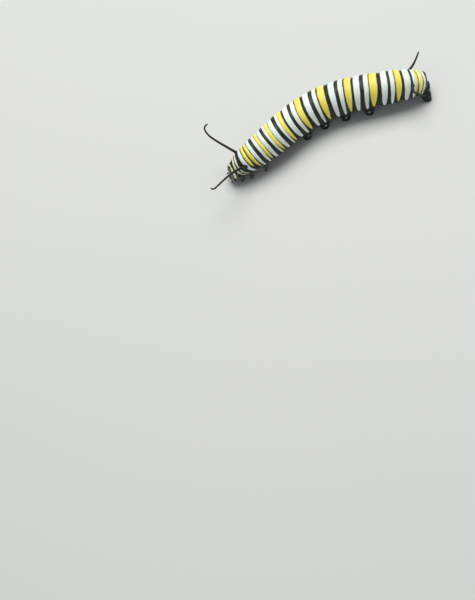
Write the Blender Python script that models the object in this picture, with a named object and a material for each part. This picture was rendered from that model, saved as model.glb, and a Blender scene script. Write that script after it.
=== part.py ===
"""A monarch larva in its last stage, life size, standing on its legs with its body in an easy bend.

The head points along -X and the larva's left side faces -Y. The floor is at z = 0. Sizes are in
millimetres and become metres when a mesh is made.
"""

import math

import bmesh
import bpy
import numpy as np
from mathutils import Vector

MM = 0.001
GAP = 0.3  # kept between pieces that touch
FLOOR = 0.0

# Where the neck stands, so that the middle of the whole larva is over the origin
NECK_X = -17.359
NECK_Y = -0.696

# One row for each body segment from the neck back: name, length, and at its front fold the turn of the
# body's axis seen from above in degrees, the height of the axis, and the body's width
SEGMENTS = (
    ("thorax_1", 1.3, 3.0, 2.95, 3.4),
    ("thorax_2", 2.1, 5.0, 3.31, 4.22),
    ("thorax_3", 3.9, 10.0, 3.78, 5.05),
    ("abdomen_1", 3.0, 16.0, 4.08, 5.86),
    ("abdomen_2", 3.2, 20.0, 4.26, 6.2),
    ("abdomen_3", 4.1, 18.0, 4.25, 6.34),
    ("abdomen_4", 4.75, 9.0, 4.2, 6.48),
    ("abdomen_5", 4.7, -4.5, 4.2, 6.52),
    ("abdomen_6", 5.0, -14.5, 4.2, 6.48),
    ("abdomen_7", 4.8, -17.0, 4.11, 6.2),
    ("abdomen_8", 2.6, -16.0, 3.86, 5.63),
    ("abdomen_9", 0.7, -18.0, 3.59, 4.66),
    ("abdomen_10", 1.05, -19.0, 3.46, 4.3),
)
TAIL_TURN, TAIL_HEIGHT, TAIL_WIDTH = -20.0, 3.2, 3.8

HEIGHT_TO_WIDTH = 0.98
BELLY_DEPTH = 0.94  # the belly's share of the back's height over the axis
BELLY_SQUARENESS = 0.82
FOLD_DEPTH = 0.085  # how far the body draws in at a fold, as a share of its width
TAIL_DOME_START = 0.35  # share of the last segment where its end starts to close
SIDES = 28

# Colour bands of a segment from its front fold to its rear one: colour and the share where each ends
ABDOMEN_BANDS = (
    ("black", 0.05),
    ("white", 0.305),
    ("black", 0.455),
    ("white", 0.66),
    ("black", 0.71),
    ("yellow", 0.96),
    ("black", 1.0),
)
THORAX_1_BANDS = (("black", 0.15), ("white", 0.45), ("black", 0.58), ("yellow", 0.85), ("black", 1.0))
THORAX_2_BANDS = (("white", 0.12), ("black", 0.48), ("white", 0.72), ("yellow", 0.94), ("black", 1.0))
THORAX_3_BANDS = (
    ("black", 0.04),
    ("yellow", 0.22),
    ("black", 0.28),
    ("white", 0.44),
    ("black", 0.64),
    ("white", 0.79),
    ("yellow", 0.95),
    ("black", 1.0),
)
ABDOMEN_8_BANDS = (("black", 0.06), ("white", 0.44), ("black", 0.64), ("white", 0.8), ("yellow", 1.0))
ABDOMEN_9_BANDS = (("black", 0.1), ("yellow", 0.8), ("black", 1.0))
ABDOMEN_10_BANDS = (("black", 0.1), ("white", 0.3), ("black", 0.6), ("yellow", 0.8), ("black", 1.0))
BANDS = {
    "thorax_1": THORAX_1_BANDS,
    "thorax_2": THORAX_2_BANDS,
    "thorax_3": THORAX_3_BANDS,
    "abdomen_8": ABDOMEN_8_BANDS,
    "abdomen_9": ABDOMEN_9_BANDS,
    "abdomen_10": ABDOMEN_10_BANDS,
}

# Feelers: each grows from the black band of its segment. A row gives the segment, the share of its length
# and the turn from the back, left being plus, where the root lies. The path then gives millimetres
# forward, outward and up from the root
FEELER_ROOT_DEPTH = 1.0
FEELER_SIDES = 2  # bevel resolution, eight sides
FRONT_FEELER_RADII = (0.42, 0.25, 0.15)  # at the root, past the flare, and at the tip
REAR_FEELER_RADII = (0.38, 0.25, 0.14)
FEELER_FLARE = 0.16  # share of the length over which the root's flare runs out
FEELERS = {
    "feeler_front_left": (
        "thorax_2",
        0.24,
        62.0,
        ((1.25, 0.6, 1.45), (2.75, 1.5, 2.9), (4.0, 2.15, 3.65), (5.45, 2.95, 4.45), (6.5, 3.5, 5.05), (6.9, 3.45, 5.75)),
        FRONT_FEELER_RADII,
    ),
    "feeler_front_right": (
        "thorax_2",
        0.34,
        -50.0,
        ((0.5, 0.5, 1.6), (1.4, 1.85, 3.75), (1.9, 2.8, 5.4), (1.85, 3.6, 6.55), (1.35, 3.95, 6.95), (0.7, 3.95, 6.95)),
        FRONT_FEELER_RADII,
    ),
    "feeler_rear_left": (
        "abdomen_8",
        0.54,
        50.0,
        ((0.0, 1.75, 0.2), (-0.85, 2.6, 0.4), (-1.4, 3.25, 0.5), (-2.0, 3.65, 0.7)),
        REAR_FEELER_RADII,
    ),
    "feeler_rear_right": (
        "abdomen_8",
        0.54,
        -50.0,
        ((-0.75, 0.45, 0.75), (-1.45, 1.2, 1.6), (-2.05, 2.0, 2.45)),
        REAR_FEELER_RADII,
    ),
}

# The head, a hard capsule with its face forward and its mouth near the floor
HEAD_WIDTH, HEAD_HEIGHT, HEAD_DEPTH = 3.5, 3.3, 2.4
HEAD_FORWARD = 0.42  # from the neck to the middle of the head
HEAD_CENTRE_HEIGHT = 2.6
HEAD_TILT = 6.0  # how far the face looks up
CROWN_NOTCH = 0.12  # depth of the groove between the two lobes of the crown
JAW_NARROWING = 0.2
HEAD_SEGMENTS, HEAD_RINGS = 28, 18
STEMMATA = 6
STEMMA_RADIUS = 0.12
STEMMA_ROW = 0.2  # radius of their curved row, as a share of the head's half width
STEMMA_PLACE = (0.6, 0.68, -0.42)  # the row's middle, as shares to the face, to the side and to the crown

# The mouth below the capsule, in the head's own frame: size and middle of each block, and its taper
UPPER_LIP = ((0.4, 1.25, 0.8), (1.08, 0.0, -1.5), 0.12)
JAWS = (((0.72, 0.62, 0.75), (0.7, 0.36, -1.93), 0.3), ((0.72, 0.62, 0.75), (0.7, -0.36, -1.93), 0.3))
LOWER_LIP = ((0.95, 1.1, 0.5), (-0.02, 0.0, -2.06), 0.3)
ANTENNA_PATH = ((0.6, 0.85, -1.0), (0.88, 1.07, -1.3), (1.08, 1.18, -1.55), (1.2, 1.22, -1.72))
ANTENNA_RADII = (0.27, 0.26, 0.22, 0.12)

# True legs: the share of the segment's length where one grows, and its path outward and down
TRUE_LEG_PLACE = {"thorax_1": 0.45, "thorax_2": 0.5, "thorax_3": 0.5}
TRUE_LEG_RADII = (0.58, 0.56, 0.43, 0.49, 0.35, 0.39, 0.28, 0.26, 0.12)
TRUE_LEG_SPREAD = {"thorax_1": 1.35, "thorax_2": 1.75, "thorax_3": 2.15}  # of the foot from the middle line
TRUE_LEG_SIDES = 3  # bevel resolution, ten sides

# Prolegs: fleshy stumps with a flat sole
PROLEG_SEGMENTS = ("abdomen_3", "abdomen_4", "abdomen_5", "abdomen_6")
PROLEG_PLACE = 0.5
PROLEG_ROOT_OUT = 1.55  # of the stump's root from the middle line
PROLEG_FOOT_OUT = 2.05
# Height, and radius along and across the body, from inside the belly to the sole
PROLEG_RINGS = (
    (2.4, 1.15, 0.95),
    (1.5, 1.15, 0.95),
    (1.0, 1.0, 0.86),
    (0.6, 0.8, 0.7),
    (0.36, 0.7, 0.62),
    (0.2, 0.78, 0.68),
    (0.06, 0.78, 0.68),
    (FLOOR, 0.68, 0.58),
)
PROLEG_SIDES = 14
CLASPER_PLACE = 0.35
CLASPER_ROOT_OUT = 1.0
CLASPER_FOOT_OUT = 1.5
CLASPER_BACK = 0.45  # how far the last pair of feet reaches back
CLASPER_RINGS = (
    (2.35, 0.35, 0.3),
    (2.15, 0.72, 0.6),
    (1.7, 1.02, 0.86),
    (1.2, 1.06, 0.9),
    (0.75, 0.9, 0.78),
    (0.42, 0.74, 0.66),
    (0.22, 0.84, 0.74),
    (0.06, 0.84, 0.74),
    (FLOOR, 0.74, 0.64),
)

COLOURS = {
    "black": ((0.012, 0.014, 0.012), 0.45),
    "white": ((0.78, 0.86, 0.78), 0.5),
    "yellow": ((0.86, 0.66, 0.06), 0.5),
    "shell_black": ((0.01, 0.01, 0.01), 0.2),
}


def clear_scene():
    for thing in list(bpy.data.objects):
        bpy.data.objects.remove(thing)


def make_materials():
    made = {}
    for name, (colour, roughness) in COLOURS.items():
        material = bpy.data.materials.new(name)
        material.use_nodes = True
        shader = material.node_tree.nodes["Principled BSDF"]
        shader.inputs["Base Color"].default_value = (*colour, 1.0)
        shader.inputs["Roughness"].default_value = roughness
        shader.inputs["Metallic"].default_value = 0.0
        made[name] = material
    return made


# The body's axis

FOLDS = np.concatenate([[0.0], np.cumsum([row[1] for row in SEGMENTS])])
TURNS = np.array([row[2] for row in SEGMENTS] + [TAIL_TURN])
HEIGHTS = np.array([row[3] for row in SEGMENTS] + [TAIL_HEIGHT])
WIDTHS = np.array([row[4] for row in SEGMENTS] + [TAIL_WIDTH])
NAMES = [row[0] for row in SEGMENTS]
AXIS_STEPS = 2000


def smooth(values, along):
    """The value at a distance from the neck, on a smooth curve through the values at the folds."""
    slopes = np.gradient(values, FOLDS)
    i = np.clip(np.searchsorted(FOLDS, along) - 1, 0, len(FOLDS) - 2)
    span = FOLDS[i + 1] - FOLDS[i]
    t = (along - FOLDS[i]) / span
    start = (2 * t**3 - 3 * t**2 + 1) * values[i] + (t**3 - 2 * t**2 + t) * span * slopes[i]
    end = (3 * t**2 - 2 * t**3) * values[i + 1] + (t**3 - t**2) * span * slopes[i + 1]
    return start + end


def axis_points():
    """Points along the axis, a small step apart, with their distances from the neck."""
    along = np.linspace(0.0, FOLDS[-1], AXIS_STEPS)
    turn = np.radians(smooth(TURNS, along))
    height = smooth(HEIGHTS, along)
    level = np.sqrt(1.0 - np.gradient(height, along) ** 2)
    step = along[1] - along[0]

    def walked(rate):
        return np.concatenate([[0.0], np.cumsum((rate[1:] + rate[:-1]) / 2 * step)])

    x = NECK_X + walked(np.cos(turn) * level)
    y = NECK_Y + walked(np.sin(turn) * level)
    return along, np.stack([x, y, height], axis=1)


ALONG, AXIS = axis_points()


def axis_at(along):
    """Centre, forward, left and up of the body at a distance from the neck."""

    def point(where):
        return Vector([float(np.interp(where, ALONG, AXIS[:, k])) for k in range(3)])

    reach = 0.05
    front = point(max(along - reach, 0.0))
    back = point(min(along + reach, FOLDS[-1]))
    forward = (front - back).normalized()
    left = Vector((0, 0, 1)).cross(forward).normalized()
    up = forward.cross(left)
    return point(along), forward, left, up


def half_width(along):
    return float(smooth(WIDTHS, np.array(along))) / 2


def place_in(segment, share):
    """Distance from the neck of a share of a segment's length."""
    i = NAMES.index(segment)
    return FOLDS[i] + share * (FOLDS[i + 1] - FOLDS[i])


def fold_shape(share):
    """The body draws in at both ends of a segment."""
    return 1.0 - FOLD_DEPTH * (1.0 - math.sin(math.pi * min(max(share, 0.0), 1.0)) ** 0.4)


def tail_shape(share):
    """The last segment closes in a dome."""
    if share <= TAIL_DOME_START:
        return 1.0
    return math.sqrt(max(1.0 - ((share - TAIL_DOME_START) / (1.02 - TAIL_DOME_START)) ** 2, 0.0))


def body_radius(along):
    """Half the body's width with its folds, and with the tail's dome."""
    i = min(max(int(np.searchsorted(FOLDS, along, side="right")) - 1, 0), len(NAMES) - 1)
    share = (along - FOLDS[i]) / (FOLDS[i + 1] - FOLDS[i])
    if NAMES[i] == "abdomen_10":
        return half_width(along) * fold_shape(min(share, 0.5)) * tail_shape(share)
    return half_width(along) * fold_shape(share)


def section_point(along, angle, radius):
    """A point on the body's section. The angle is 0 on the back and grows to the left."""
    centre, _, left, up = axis_at(along)
    high = math.cos(angle)
    if high < 0:
        high = -BELLY_DEPTH * abs(high) ** BELLY_SQUARENESS
    return centre + left * (radius * math.sin(angle)) + up * (radius * HEIGHT_TO_WIDTH * high)


def section(along, radius, sides=SIDES):
    return [section_point(along, 2 * math.pi * k / sides, radius) for k in range(sides)]


# Mesh making


def object_from(name, bm, material_names, materials):
    bm.normal_update()
    bmesh.ops.recalc_face_normals(bm, faces=bm.faces)
    bmesh.ops.scale(bm, vec=(MM, MM, MM), verts=bm.verts)
    mesh = bpy.data.meshes.new(name)
    bm.to_mesh(mesh)
    bm.free()
    for material_name in material_names:
        mesh.materials.append(materials[material_name])
    mesh.shade_smooth()
    made = bpy.data.objects.new(name, mesh)
    bpy.context.scene.collection.objects.link(made)
    return made


def loft(rings, row_colours=None):
    """A closed mesh through rings of points. Row colours are material numbers, one for each row."""
    bm = bmesh.new()
    loops = [[bm.verts.new(point) for point in ring] for ring in rings]
    for row, (near, far) in enumerate(zip(loops, loops[1:])):
        for k in range(len(near)):
            j = (k + 1) % len(near)
            face = bm.faces.new((near[k], near[j], far[j], far[k]))
            face.material_index = row_colours[row] if row_colours else 0
    bm.faces.new(loops[0][::-1])
    bm.faces.new(loops[-1])
    return bm


def rows_of(name):
    """Shares of a segment's length where its rows lie, with the colour of each row between them."""
    shares, colours = [0.0], []
    longest_row = 0.2
    for colour, end in BANDS.get(name, ABDOMEN_BANDS):
        pieces = math.ceil((end - shares[-1]) / longest_row)
        start = shares[-1]
        for k in range(pieces):
            shares.append(start + (end - start) * (k + 1) / pieces)
            colours.append(colour)
    return shares, colours


def make_segment(name, materials):
    """One ring of the body between its two folds, with half a gap left at each."""
    i = NAMES.index(name)
    shares, colours = rows_of(name)
    rings = []
    for share in shares:
        along = place_in(name, share)
        radius = body_radius(along)
        if i > 0 and share == 0.0:
            along += GAP / 2
        if i < len(NAMES) - 1 and share == 1.0:
            along -= GAP / 2
        rings.append(section(along, radius))
    palette = sorted(set(colours))
    bm = loft(rings, [palette.index(colour) for colour in colours])
    return object_from(name, bm, palette, materials)


def make_clearance(materials):
    """A guide that the limbs' roots are cut with: the whole body, larger all round by the gap."""
    rings = []
    steps_per_segment = 6
    for i, name in enumerate(NAMES):
        last = i == len(NAMES) - 1
        for k in range(steps_per_segment + last):
            share = k / steps_per_segment
            along = place_in(name, share)
            ring = section(along, body_radius(along) + GAP)
            if last:
                back = axis_at(along)[1] * -GAP * max(share - TAIL_DOME_START, 0.0) / (1.0 - TAIL_DOME_START)
                ring = [point + back for point in ring]
            rings.append(ring)
    forward = axis_at(0.0)[1]
    rings[0] = [point + forward * GAP for point in rings[0]]
    guide = object_from("body_clearance", loft(rings), ["black"], materials)
    guide.hide_render = True
    guide.display_type = "WIRE"
    return guide


def cut_by(piece, guide):
    """Leaves the gap between a limb and what it grows from."""
    cut = piece.modifiers.new("gap_at_the_root", "BOOLEAN")
    cut.operation = "DIFFERENCE"
    cut.solver = "EXACT"
    cut.object = guide


def smooth_path(points, pieces):
    """Points on a smooth curve through the given ones, with the share of the way at each."""
    points = [Vector(p) for p in points]
    padded = [2 * points[0] - points[1], *points, 2 * points[-1] - points[-2]]
    path = []
    for a, b, c, d in zip(padded, padded[1:], padded[2:], padded[3:]):
        for k in range(pieces):
            t = k / pieces
            path.append(
                0.5 * (2 * b + (c - a) * t + (2 * a - 5 * b + 4 * c - d) * t**2 + (3 * b - a - 3 * c + d) * t**3)
            )
    path.append(points[-1])
    walked = np.concatenate([[0.0], np.cumsum([(q - p).length for p, q in zip(path, path[1:])])])
    return path, walked / walked[-1]


def tube(name, path, radii, resolution, material, materials):
    """A round tapered tube along a path, made as a bevelled curve and kept as a mesh."""
    curve = bpy.data.curves.new(name, "CURVE")
    curve.dimensions = "3D"
    curve.bevel_depth = MM
    curve.bevel_resolution = resolution
    curve.use_fill_caps = True
    spline = curve.splines.new("POLY")
    spline.points.add(len(path) - 1)
    for slot, point, radius in zip(spline.points, path, radii):
        slot.co = (*(point * MM), 1.0)
        slot.radius = radius
    guide = bpy.data.objects.new(name + "_curve", curve)
    bpy.context.scene.collection.objects.link(guide)
    bm = bmesh.new()
    bm.from_mesh(guide.to_mesh())
    guide.to_mesh_clear()
    bpy.data.objects.remove(guide)
    bmesh.ops.scale(bm, vec=(1 / MM, 1 / MM, 1 / MM), verts=bm.verts)
    bmesh.ops.remove_doubles(bm, verts=bm.verts, dist=0.0005)
    bmesh.ops.bisect_plane(
        bm,
        geom=[*bm.verts, *bm.edges, *bm.faces],
        plane_co=(0, 0, FLOOR),
        plane_no=(0, 0, -1),
        clear_outer=True,
    )
    bmesh.ops.holes_fill(bm, edges=[edge for edge in bm.edges if edge.is_boundary])
    return object_from(name, bm, [material], materials)


# The limbs


def make_feeler(name, guide, materials):
    segment, share, turn, turns, radii = FEELERS[name]
    along = place_in(segment, share)
    side = math.copysign(1.0, turn)
    _, forward, left, up = axis_at(along)
    root = section_point(along, math.radians(turn), half_width(along))
    way = [root + forward * f + left * (side * out) + up * high for f, out, high in turns]
    inward = (root - way[0]).normalized() * FEELER_ROOT_DEPTH
    path, shares = smooth_path([root + inward, root, *way], 3)
    thick = np.interp(shares, [0.0, FEELER_FLARE, 1.0], radii)
    made = tube(name, path, thick, FEELER_SIDES, "black", materials)
    cut_by(made, guide)


def make_true_leg(segment, side, guide, materials):
    """Hip, thigh, shin and foot, each a little thicker than the joint before it, and a claw."""
    along = place_in(segment, TRUE_LEG_PLACE[segment])
    centre, forward, left, _ = axis_at(along)
    level = Vector((forward.x, forward.y, 0)).normalized()
    belly = centre.z - half_width(along) * HEIGHT_TO_WIDTH * BELLY_DEPTH
    spread = TRUE_LEG_SPREAD[segment]

    def spot(out, ahead, height):
        here = centre + left * (side * out) + level * ahead
        return Vector((here.x, here.y, height))

    way = [
        spot(spread * 0.55, -0.15, belly + 0.75),
        spot(spread * 0.8, 0.0, belly + 0.1),
        spot(spread * 1.0, 0.15, belly * 0.62),
        spot(spread * 1.0, 0.38, belly * 0.28),
        spot(spread * 0.86, 0.62, -0.06),
    ]
    path, shares = smooth_path(way, 3)
    places = np.linspace(0.0, 1.0, len(TRUE_LEG_RADII))
    thick = np.interp(shares, places, TRUE_LEG_RADII)
    side_name = "left" if side > 0 else "right"
    name = f"leg_{segment[-1]}_{side_name}"
    made = tube(name, path, thick, TRUE_LEG_SIDES, "shell_black", materials)
    cut_by(made, guide)


def make_stump(name, centre, level, left, side, root_out, foot_out, back, sizes, guide, materials):
    """A fleshy leg from the belly to its flat sole."""
    rings = []
    top = sizes[0][0]
    for height, long_radius, cross_radius in sizes:
        share = 1.0 - height / top
        out = root_out + (foot_out - root_out) * share
        middle = centre + left * (side * out) - level * (back * share)
        ring = []
        for k in range(PROLEG_SIDES):
            angle = 2 * math.pi * k / PROLEG_SIDES
            offset = level * (long_radius * math.cos(angle)) + left * (cross_radius * math.sin(angle))
            ring.append(Vector((middle.x + offset.x, middle.y + offset.y, height)))
        rings.append(ring)
    made = object_from(name, loft(rings), ["black"], materials)
    cut_by(made, guide)


def make_prolegs(guide, materials):
    feet = [(segment, PROLEG_PLACE) for segment in PROLEG_SEGMENTS] + [("abdomen_10", CLASPER_PLACE)]
    for segment, share in feet:
        centre, forward, left, _ = axis_at(place_in(segment, share))
        level = Vector((forward.x, forward.y, 0)).normalized()
        last = segment == "abdomen_10"
        for side, side_name in ((1, "left"), (-1, "right")):
            name = f"{'clasper' if last else 'proleg_' + segment[-1]}_{side_name}"
            outs = (CLASPER_ROOT_OUT, CLASPER_FOOT_OUT) if last else (PROLEG_ROOT_OUT, PROLEG_FOOT_OUT)
            back = CLASPER_BACK if last else 0.0
            sizes = CLASPER_RINGS if last else PROLEG_RINGS
            make_stump(name, centre, level, left, side, *outs, back, sizes, guide, materials)


# The head


def head_frame():
    """Centre of the head with the ways its face looks, its left, and its crown."""
    neck, forward, _, _ = axis_at(0.0)
    level = Vector((forward.x, forward.y, 0)).normalized()
    left = Vector((0, 0, 1)).cross(level)
    tilt = math.radians(HEAD_TILT)
    face = level * math.cos(tilt) + Vector((0, 0, math.sin(tilt)))
    crown = face.cross(left)
    centre = neck + level * HEAD_FORWARD
    centre.z = HEAD_CENTRE_HEIGHT
    return centre, face, left, crown


def head_point(direction, grown=0.0):
    """The point of the capsule's surface in a direction given as face, left and crown shares."""
    face, left, crown = direction
    narrow = 1.0 - JAW_NARROWING * max(-crown, 0.0) ** 1.5
    notch = 1.0 - CROWN_NOTCH * math.exp(-((left / 0.16) ** 2)) * max(crown, 0.0)
    flat_face = 1.0 - 0.1 * max(face, 0.0) ** 2
    return Vector(
        (
            face * (HEAD_DEPTH / 2 * flat_face + grown),
            left * (HEAD_WIDTH / 2 * narrow + grown),
            crown * (HEAD_HEIGHT / 2 * notch + grown),
        )
    )


def head_mesh(grown):
    """The capsule in the head's own frame: x out of the face, y to its left, z to the crown."""
    bm = bmesh.new()
    bmesh.ops.create_uvsphere(bm, u_segments=HEAD_SEGMENTS, v_segments=HEAD_RINGS, radius=1.0)
    for vert in bm.verts:
        vert.co = head_point(vert.co, grown)
    return bm


def put_in_head(bm):
    """Takes a mesh from the head's own frame to its place on the body."""
    centre, face, left, crown = head_frame()
    for vert in bm.verts:
        vert.co = centre + face * vert.co.x + left * vert.co.y + crown * vert.co.z


def small_dome(where, radius):
    bm = bmesh.new()
    bmesh.ops.create_uvsphere(bm, u_segments=8, v_segments=6, radius=radius)
    bmesh.ops.translate(bm, vec=where, verts=bm.verts)
    return bm


def joined(name, base, additions, materials):
    """One closed body from overlapping closed meshes, by a union on their collection."""
    pieces = bpy.data.collections.new(name + "_pieces")
    bpy.context.scene.collection.children.link(pieces)
    for k, bm in enumerate(additions):
        extra = object_from(f"{name}_{k}", bm, ["shell_black"], materials)
        bpy.context.scene.collection.objects.unlink(extra)
        pieces.objects.link(extra)
    union = base.modifiers.new("join", "BOOLEAN")
    union.operation = "UNION"
    union.operand_type = "COLLECTION"
    union.solver = "EXACT"
    union.collection = pieces
    graph = bpy.context.evaluated_depsgraph_get()
    mesh = bpy.data.meshes.new_from_object(base.evaluated_get(graph))
    base.modifiers.clear()
    base.data = mesh
    for extra in list(pieces.objects):
        bpy.data.objects.remove(extra)
    bpy.data.collections.remove(pieces)
    return base


def make_head(materials):
    """The capsule, cut flat behind where it meets the neck, with its two curved rows of small eyes."""
    bm = head_mesh(0.0)
    put_in_head(bm)
    neck, forward, _, _ = axis_at(0.0)
    bmesh.ops.bisect_plane(
        bm,
        geom=[*bm.verts, *bm.edges, *bm.faces],
        plane_co=neck + forward * GAP,
        plane_no=-forward,
        clear_outer=True,
    )
    bmesh.ops.holes_fill(bm, edges=[edge for edge in bm.edges if edge.is_boundary])
    head = object_from("head", bm, ["shell_black"], materials)
    middle = Vector(STEMMA_PLACE).normalized()
    back = (Vector((-1, 0, 0)) + middle * middle.x).normalized()
    high = back.cross(middle)
    domes = []
    for side in (1, -1):
        for k in range(STEMMATA):
            turn = math.radians(-70 + 220 * k / (STEMMATA - 1))
            way = (middle + (back * math.cos(turn) + high * math.sin(turn)) * STEMMA_ROW).normalized()
            dome = small_dome(head_point((way.x, side * way.y, way.z)), STEMMA_RADIUS)
            put_in_head(dome)
            domes.append(dome)
    return joined("head", head, domes, materials)


def mouth_block(size, where, taper):
    """A rounded block in the head's own frame, narrower at its lower end."""
    bm = bmesh.new()
    bmesh.ops.create_cube(bm, size=1.0)
    for vert in bm.verts:
        share = 0.5 - vert.co.z
        vert.co.x *= size[0]
        vert.co.y *= size[1] * (1.0 - taper * share)
        vert.co.z *= size[2]
    bmesh.ops.bevel(bm, geom=list(bm.edges), offset=min(size) * 0.22, segments=2, affect="EDGES", profile=0.6)
    bmesh.ops.translate(bm, vec=where, verts=bm.verts)
    put_in_head(bm)
    return bm


def make_mouth(materials):
    """Upper lip, jaws and lower lip in one piece, and the two short antennae beside them."""
    grown = head_mesh(GAP)
    put_in_head(grown)
    guide = object_from("head_clearance", grown, ["black"], materials)
    guide.hide_render = True
    guide.display_type = "WIRE"
    mouth = object_from("mouthparts", mouth_block(*LOWER_LIP), ["shell_black"], materials)
    mouth = joined("mouthparts", mouth, [mouth_block(*block) for block in (UPPER_LIP, *JAWS)], materials)
    cut_by(mouth, guide)
    centre, face, left, crown = head_frame()
    for side, side_name in ((1, "left"), (-1, "right")):
        way = [centre + face * f + left * (side * out) + crown * high for f, out, high in ANTENNA_PATH]
        path, shares = smooth_path(way, 2)
        thick = np.interp(shares, np.linspace(0.0, 1.0, len(ANTENNA_RADII)), ANTENNA_RADII)
        made = tube(f"antenna_{side_name}", path, thick, 2, "shell_black", materials)
        cut_by(made, guide)


def main():
    clear_scene()
    materials = make_materials()
    for name in NAMES:
        make_segment(name, materials)
    guide = make_clearance(materials)
    for name in FEELERS:
        make_feeler(name, guide, materials)
    for segment in TRUE_LEG_PLACE:
        for side in (1, -1):
            make_true_leg(segment, side, guide, materials)
    make_prolegs(guide, materials)
    make_head(materials)
    make_mouth(materials)


main()
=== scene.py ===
# %% [markdown]
# # A monarch larva, life size
# The larva is in its last stage, about 43 mm long round its bend. It stands on six small hooked legs in
# front and ten fleshy stumps behind, and it carries two pairs of long black feelers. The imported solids
# give the place and size of every part. This script puts the living surface over them: one soft banded
# skin, a glossy head, the mouth, legs, feelers, breathing holes, gripping hooks and short bristles.

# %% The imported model
import math

import bpy
import numpy as np
from mathutils import Matrix, Vector


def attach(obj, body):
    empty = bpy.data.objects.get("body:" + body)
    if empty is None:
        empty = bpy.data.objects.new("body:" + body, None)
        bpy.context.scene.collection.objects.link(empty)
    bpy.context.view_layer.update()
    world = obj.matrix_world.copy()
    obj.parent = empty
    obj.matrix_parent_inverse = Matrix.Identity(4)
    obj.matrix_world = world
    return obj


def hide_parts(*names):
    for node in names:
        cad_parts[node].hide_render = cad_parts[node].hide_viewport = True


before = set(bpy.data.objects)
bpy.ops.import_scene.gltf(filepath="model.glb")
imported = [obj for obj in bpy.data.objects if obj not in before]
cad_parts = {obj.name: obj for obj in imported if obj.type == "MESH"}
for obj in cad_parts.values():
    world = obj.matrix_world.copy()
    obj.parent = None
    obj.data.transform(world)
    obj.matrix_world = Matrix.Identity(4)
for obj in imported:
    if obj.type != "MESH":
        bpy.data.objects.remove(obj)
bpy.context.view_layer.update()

# %% [markdown]
# ## Sizes
# The solids were made from these sizes, so every soft surface lies where its solid is. They are in
# millimetres, and a mesh becomes metres when it is finished. The body is described by its folds: one row
# for each segment, with its length, and at its front fold the turn of the axis seen from above, the
# height of the axis and the width of the body. The last row is the tail end.

# %% Body segments
MM = 0.001
SEGMENTS = (
    ("thorax_1", 1.3, 3.0, 2.95, 3.4),
    ("thorax_2", 2.1, 5.0, 3.31, 4.22),
    ("thorax_3", 3.9, 10.0, 3.78, 5.05),
    ("abdomen_1", 3.0, 16.0, 4.08, 5.86),
    ("abdomen_2", 3.2, 20.0, 4.26, 6.2),
    ("abdomen_3", 4.1, 18.0, 4.25, 6.34),
    ("abdomen_4", 4.75, 9.0, 4.2, 6.48),
    ("abdomen_5", 4.7, -4.5, 4.2, 6.52),
    ("abdomen_6", 5.0, -14.5, 4.2, 6.48),
    ("abdomen_7", 4.8, -17.0, 4.11, 6.2),
    ("abdomen_8", 2.6, -16.0, 3.86, 5.63),
    ("abdomen_9", 0.7, -18.0, 3.59, 4.66),
    ("abdomen_10", 1.05, -19.0, 3.46, 4.3),
    ("end", 0.0, -20.0, 3.2, 3.8),
)
NECK_X, NECK_Y = -17.359, -0.696
HEIGHT_TO_WIDTH, BELLY_DEPTH, BELLY_SQUARENESS = 0.98, 0.94, 0.82
TAIL_DOME_START, TAIL_DOME_END = 0.35, 1.02
NAMES = [row[0] for row in SEGMENTS[:-1]]
LENGTHS, TURNS, HEIGHTS, WIDTHS = np.array([row[1:] for row in SEGMENTS]).T
FOLDS = np.concatenate([[0.0], np.cumsum(LENGTHS[:-1])])
LENGTH = FOLDS[-1]
print("length round the bend:", round(float(LENGTH), 2), "mm, widest:", WIDTHS.max(), "mm")

# %% [markdown]
# ## The line through the body
# Every piece is placed by how far it is behind the neck and how far round the body. The axis is walked
# in small steps, turning as the rows above say. A curve object could hold such a line too, but plain
# numbers let the bands, the folds and the limbs all ask for the same places.

# %% Walking the axis
AXIS_STEPS = 2000
FRAME_REACH = 0.05
UP = np.array([0.0, 0.0, 1.0])


def smooth(values, along, places=FOLDS):
    """The value at distances behind the neck, on a smooth curve through the values at the places."""
    slopes = np.gradient(values, places)
    i = np.clip(np.searchsorted(places, along) - 1, 0, len(places) - 2)
    span = places[i + 1] - places[i]
    t = (along - places[i]) / span
    start = (2 * t**3 - 3 * t**2 + 1) * values[i] + (t**3 - 2 * t**2 + t) * span * slopes[i]
    end = (3 * t**2 - 2 * t**3) * values[i + 1] + (t**3 - t**2) * span * slopes[i + 1]
    return start + end


def walked(rate):
    return np.concatenate([[0.0], np.cumsum((rate[1:] + rate[:-1]) / 2 * ALONG[1])])


def unit(vectors):
    return vectors / np.linalg.norm(vectors, axis=-1, keepdims=True)


def clamp(values):
    return np.clip(values, 0.0, 1.0)


ALONG = np.linspace(0.0, LENGTH, AXIS_STEPS)
TURN = np.radians(smooth(TURNS, ALONG))
HEIGHT = smooth(HEIGHTS, ALONG)
LEVEL = np.sqrt(1.0 - np.gradient(HEIGHT, ALONG) ** 2)
AXIS = [NECK_X + walked(np.cos(TURN) * LEVEL), NECK_Y + walked(np.sin(TURN) * LEVEL), HEIGHT]


def body_frame(along):
    """Centre, forward, left and up of the body at distances behind the neck, also a little before it."""
    along = np.asarray(along, float)
    inside = np.clip(along, 0.0, LENGTH)

    def point(where):
        return np.stack([np.interp(where, ALONG, line) for line in AXIS], axis=-1)

    ahead, behind = np.maximum(inside - FRAME_REACH, 0.0), np.minimum(inside + FRAME_REACH, LENGTH)
    forward = unit(point(ahead) - point(behind))
    left = unit(np.cross(UP, forward))
    return point(inside) + forward * (inside - along)[..., None], forward, left, np.cross(forward, left)


def level_frame(along):
    """Centre of the body with its level forward way and its left, for what stands on the floor."""
    centre, forward, left, _ = body_frame(along)
    return centre, unit(forward * (1.0, 1.0, 0.0)), left


def half_width(along):
    return smooth(WIDTHS, np.clip(along, 0.0, LENGTH)) / 2


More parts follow.
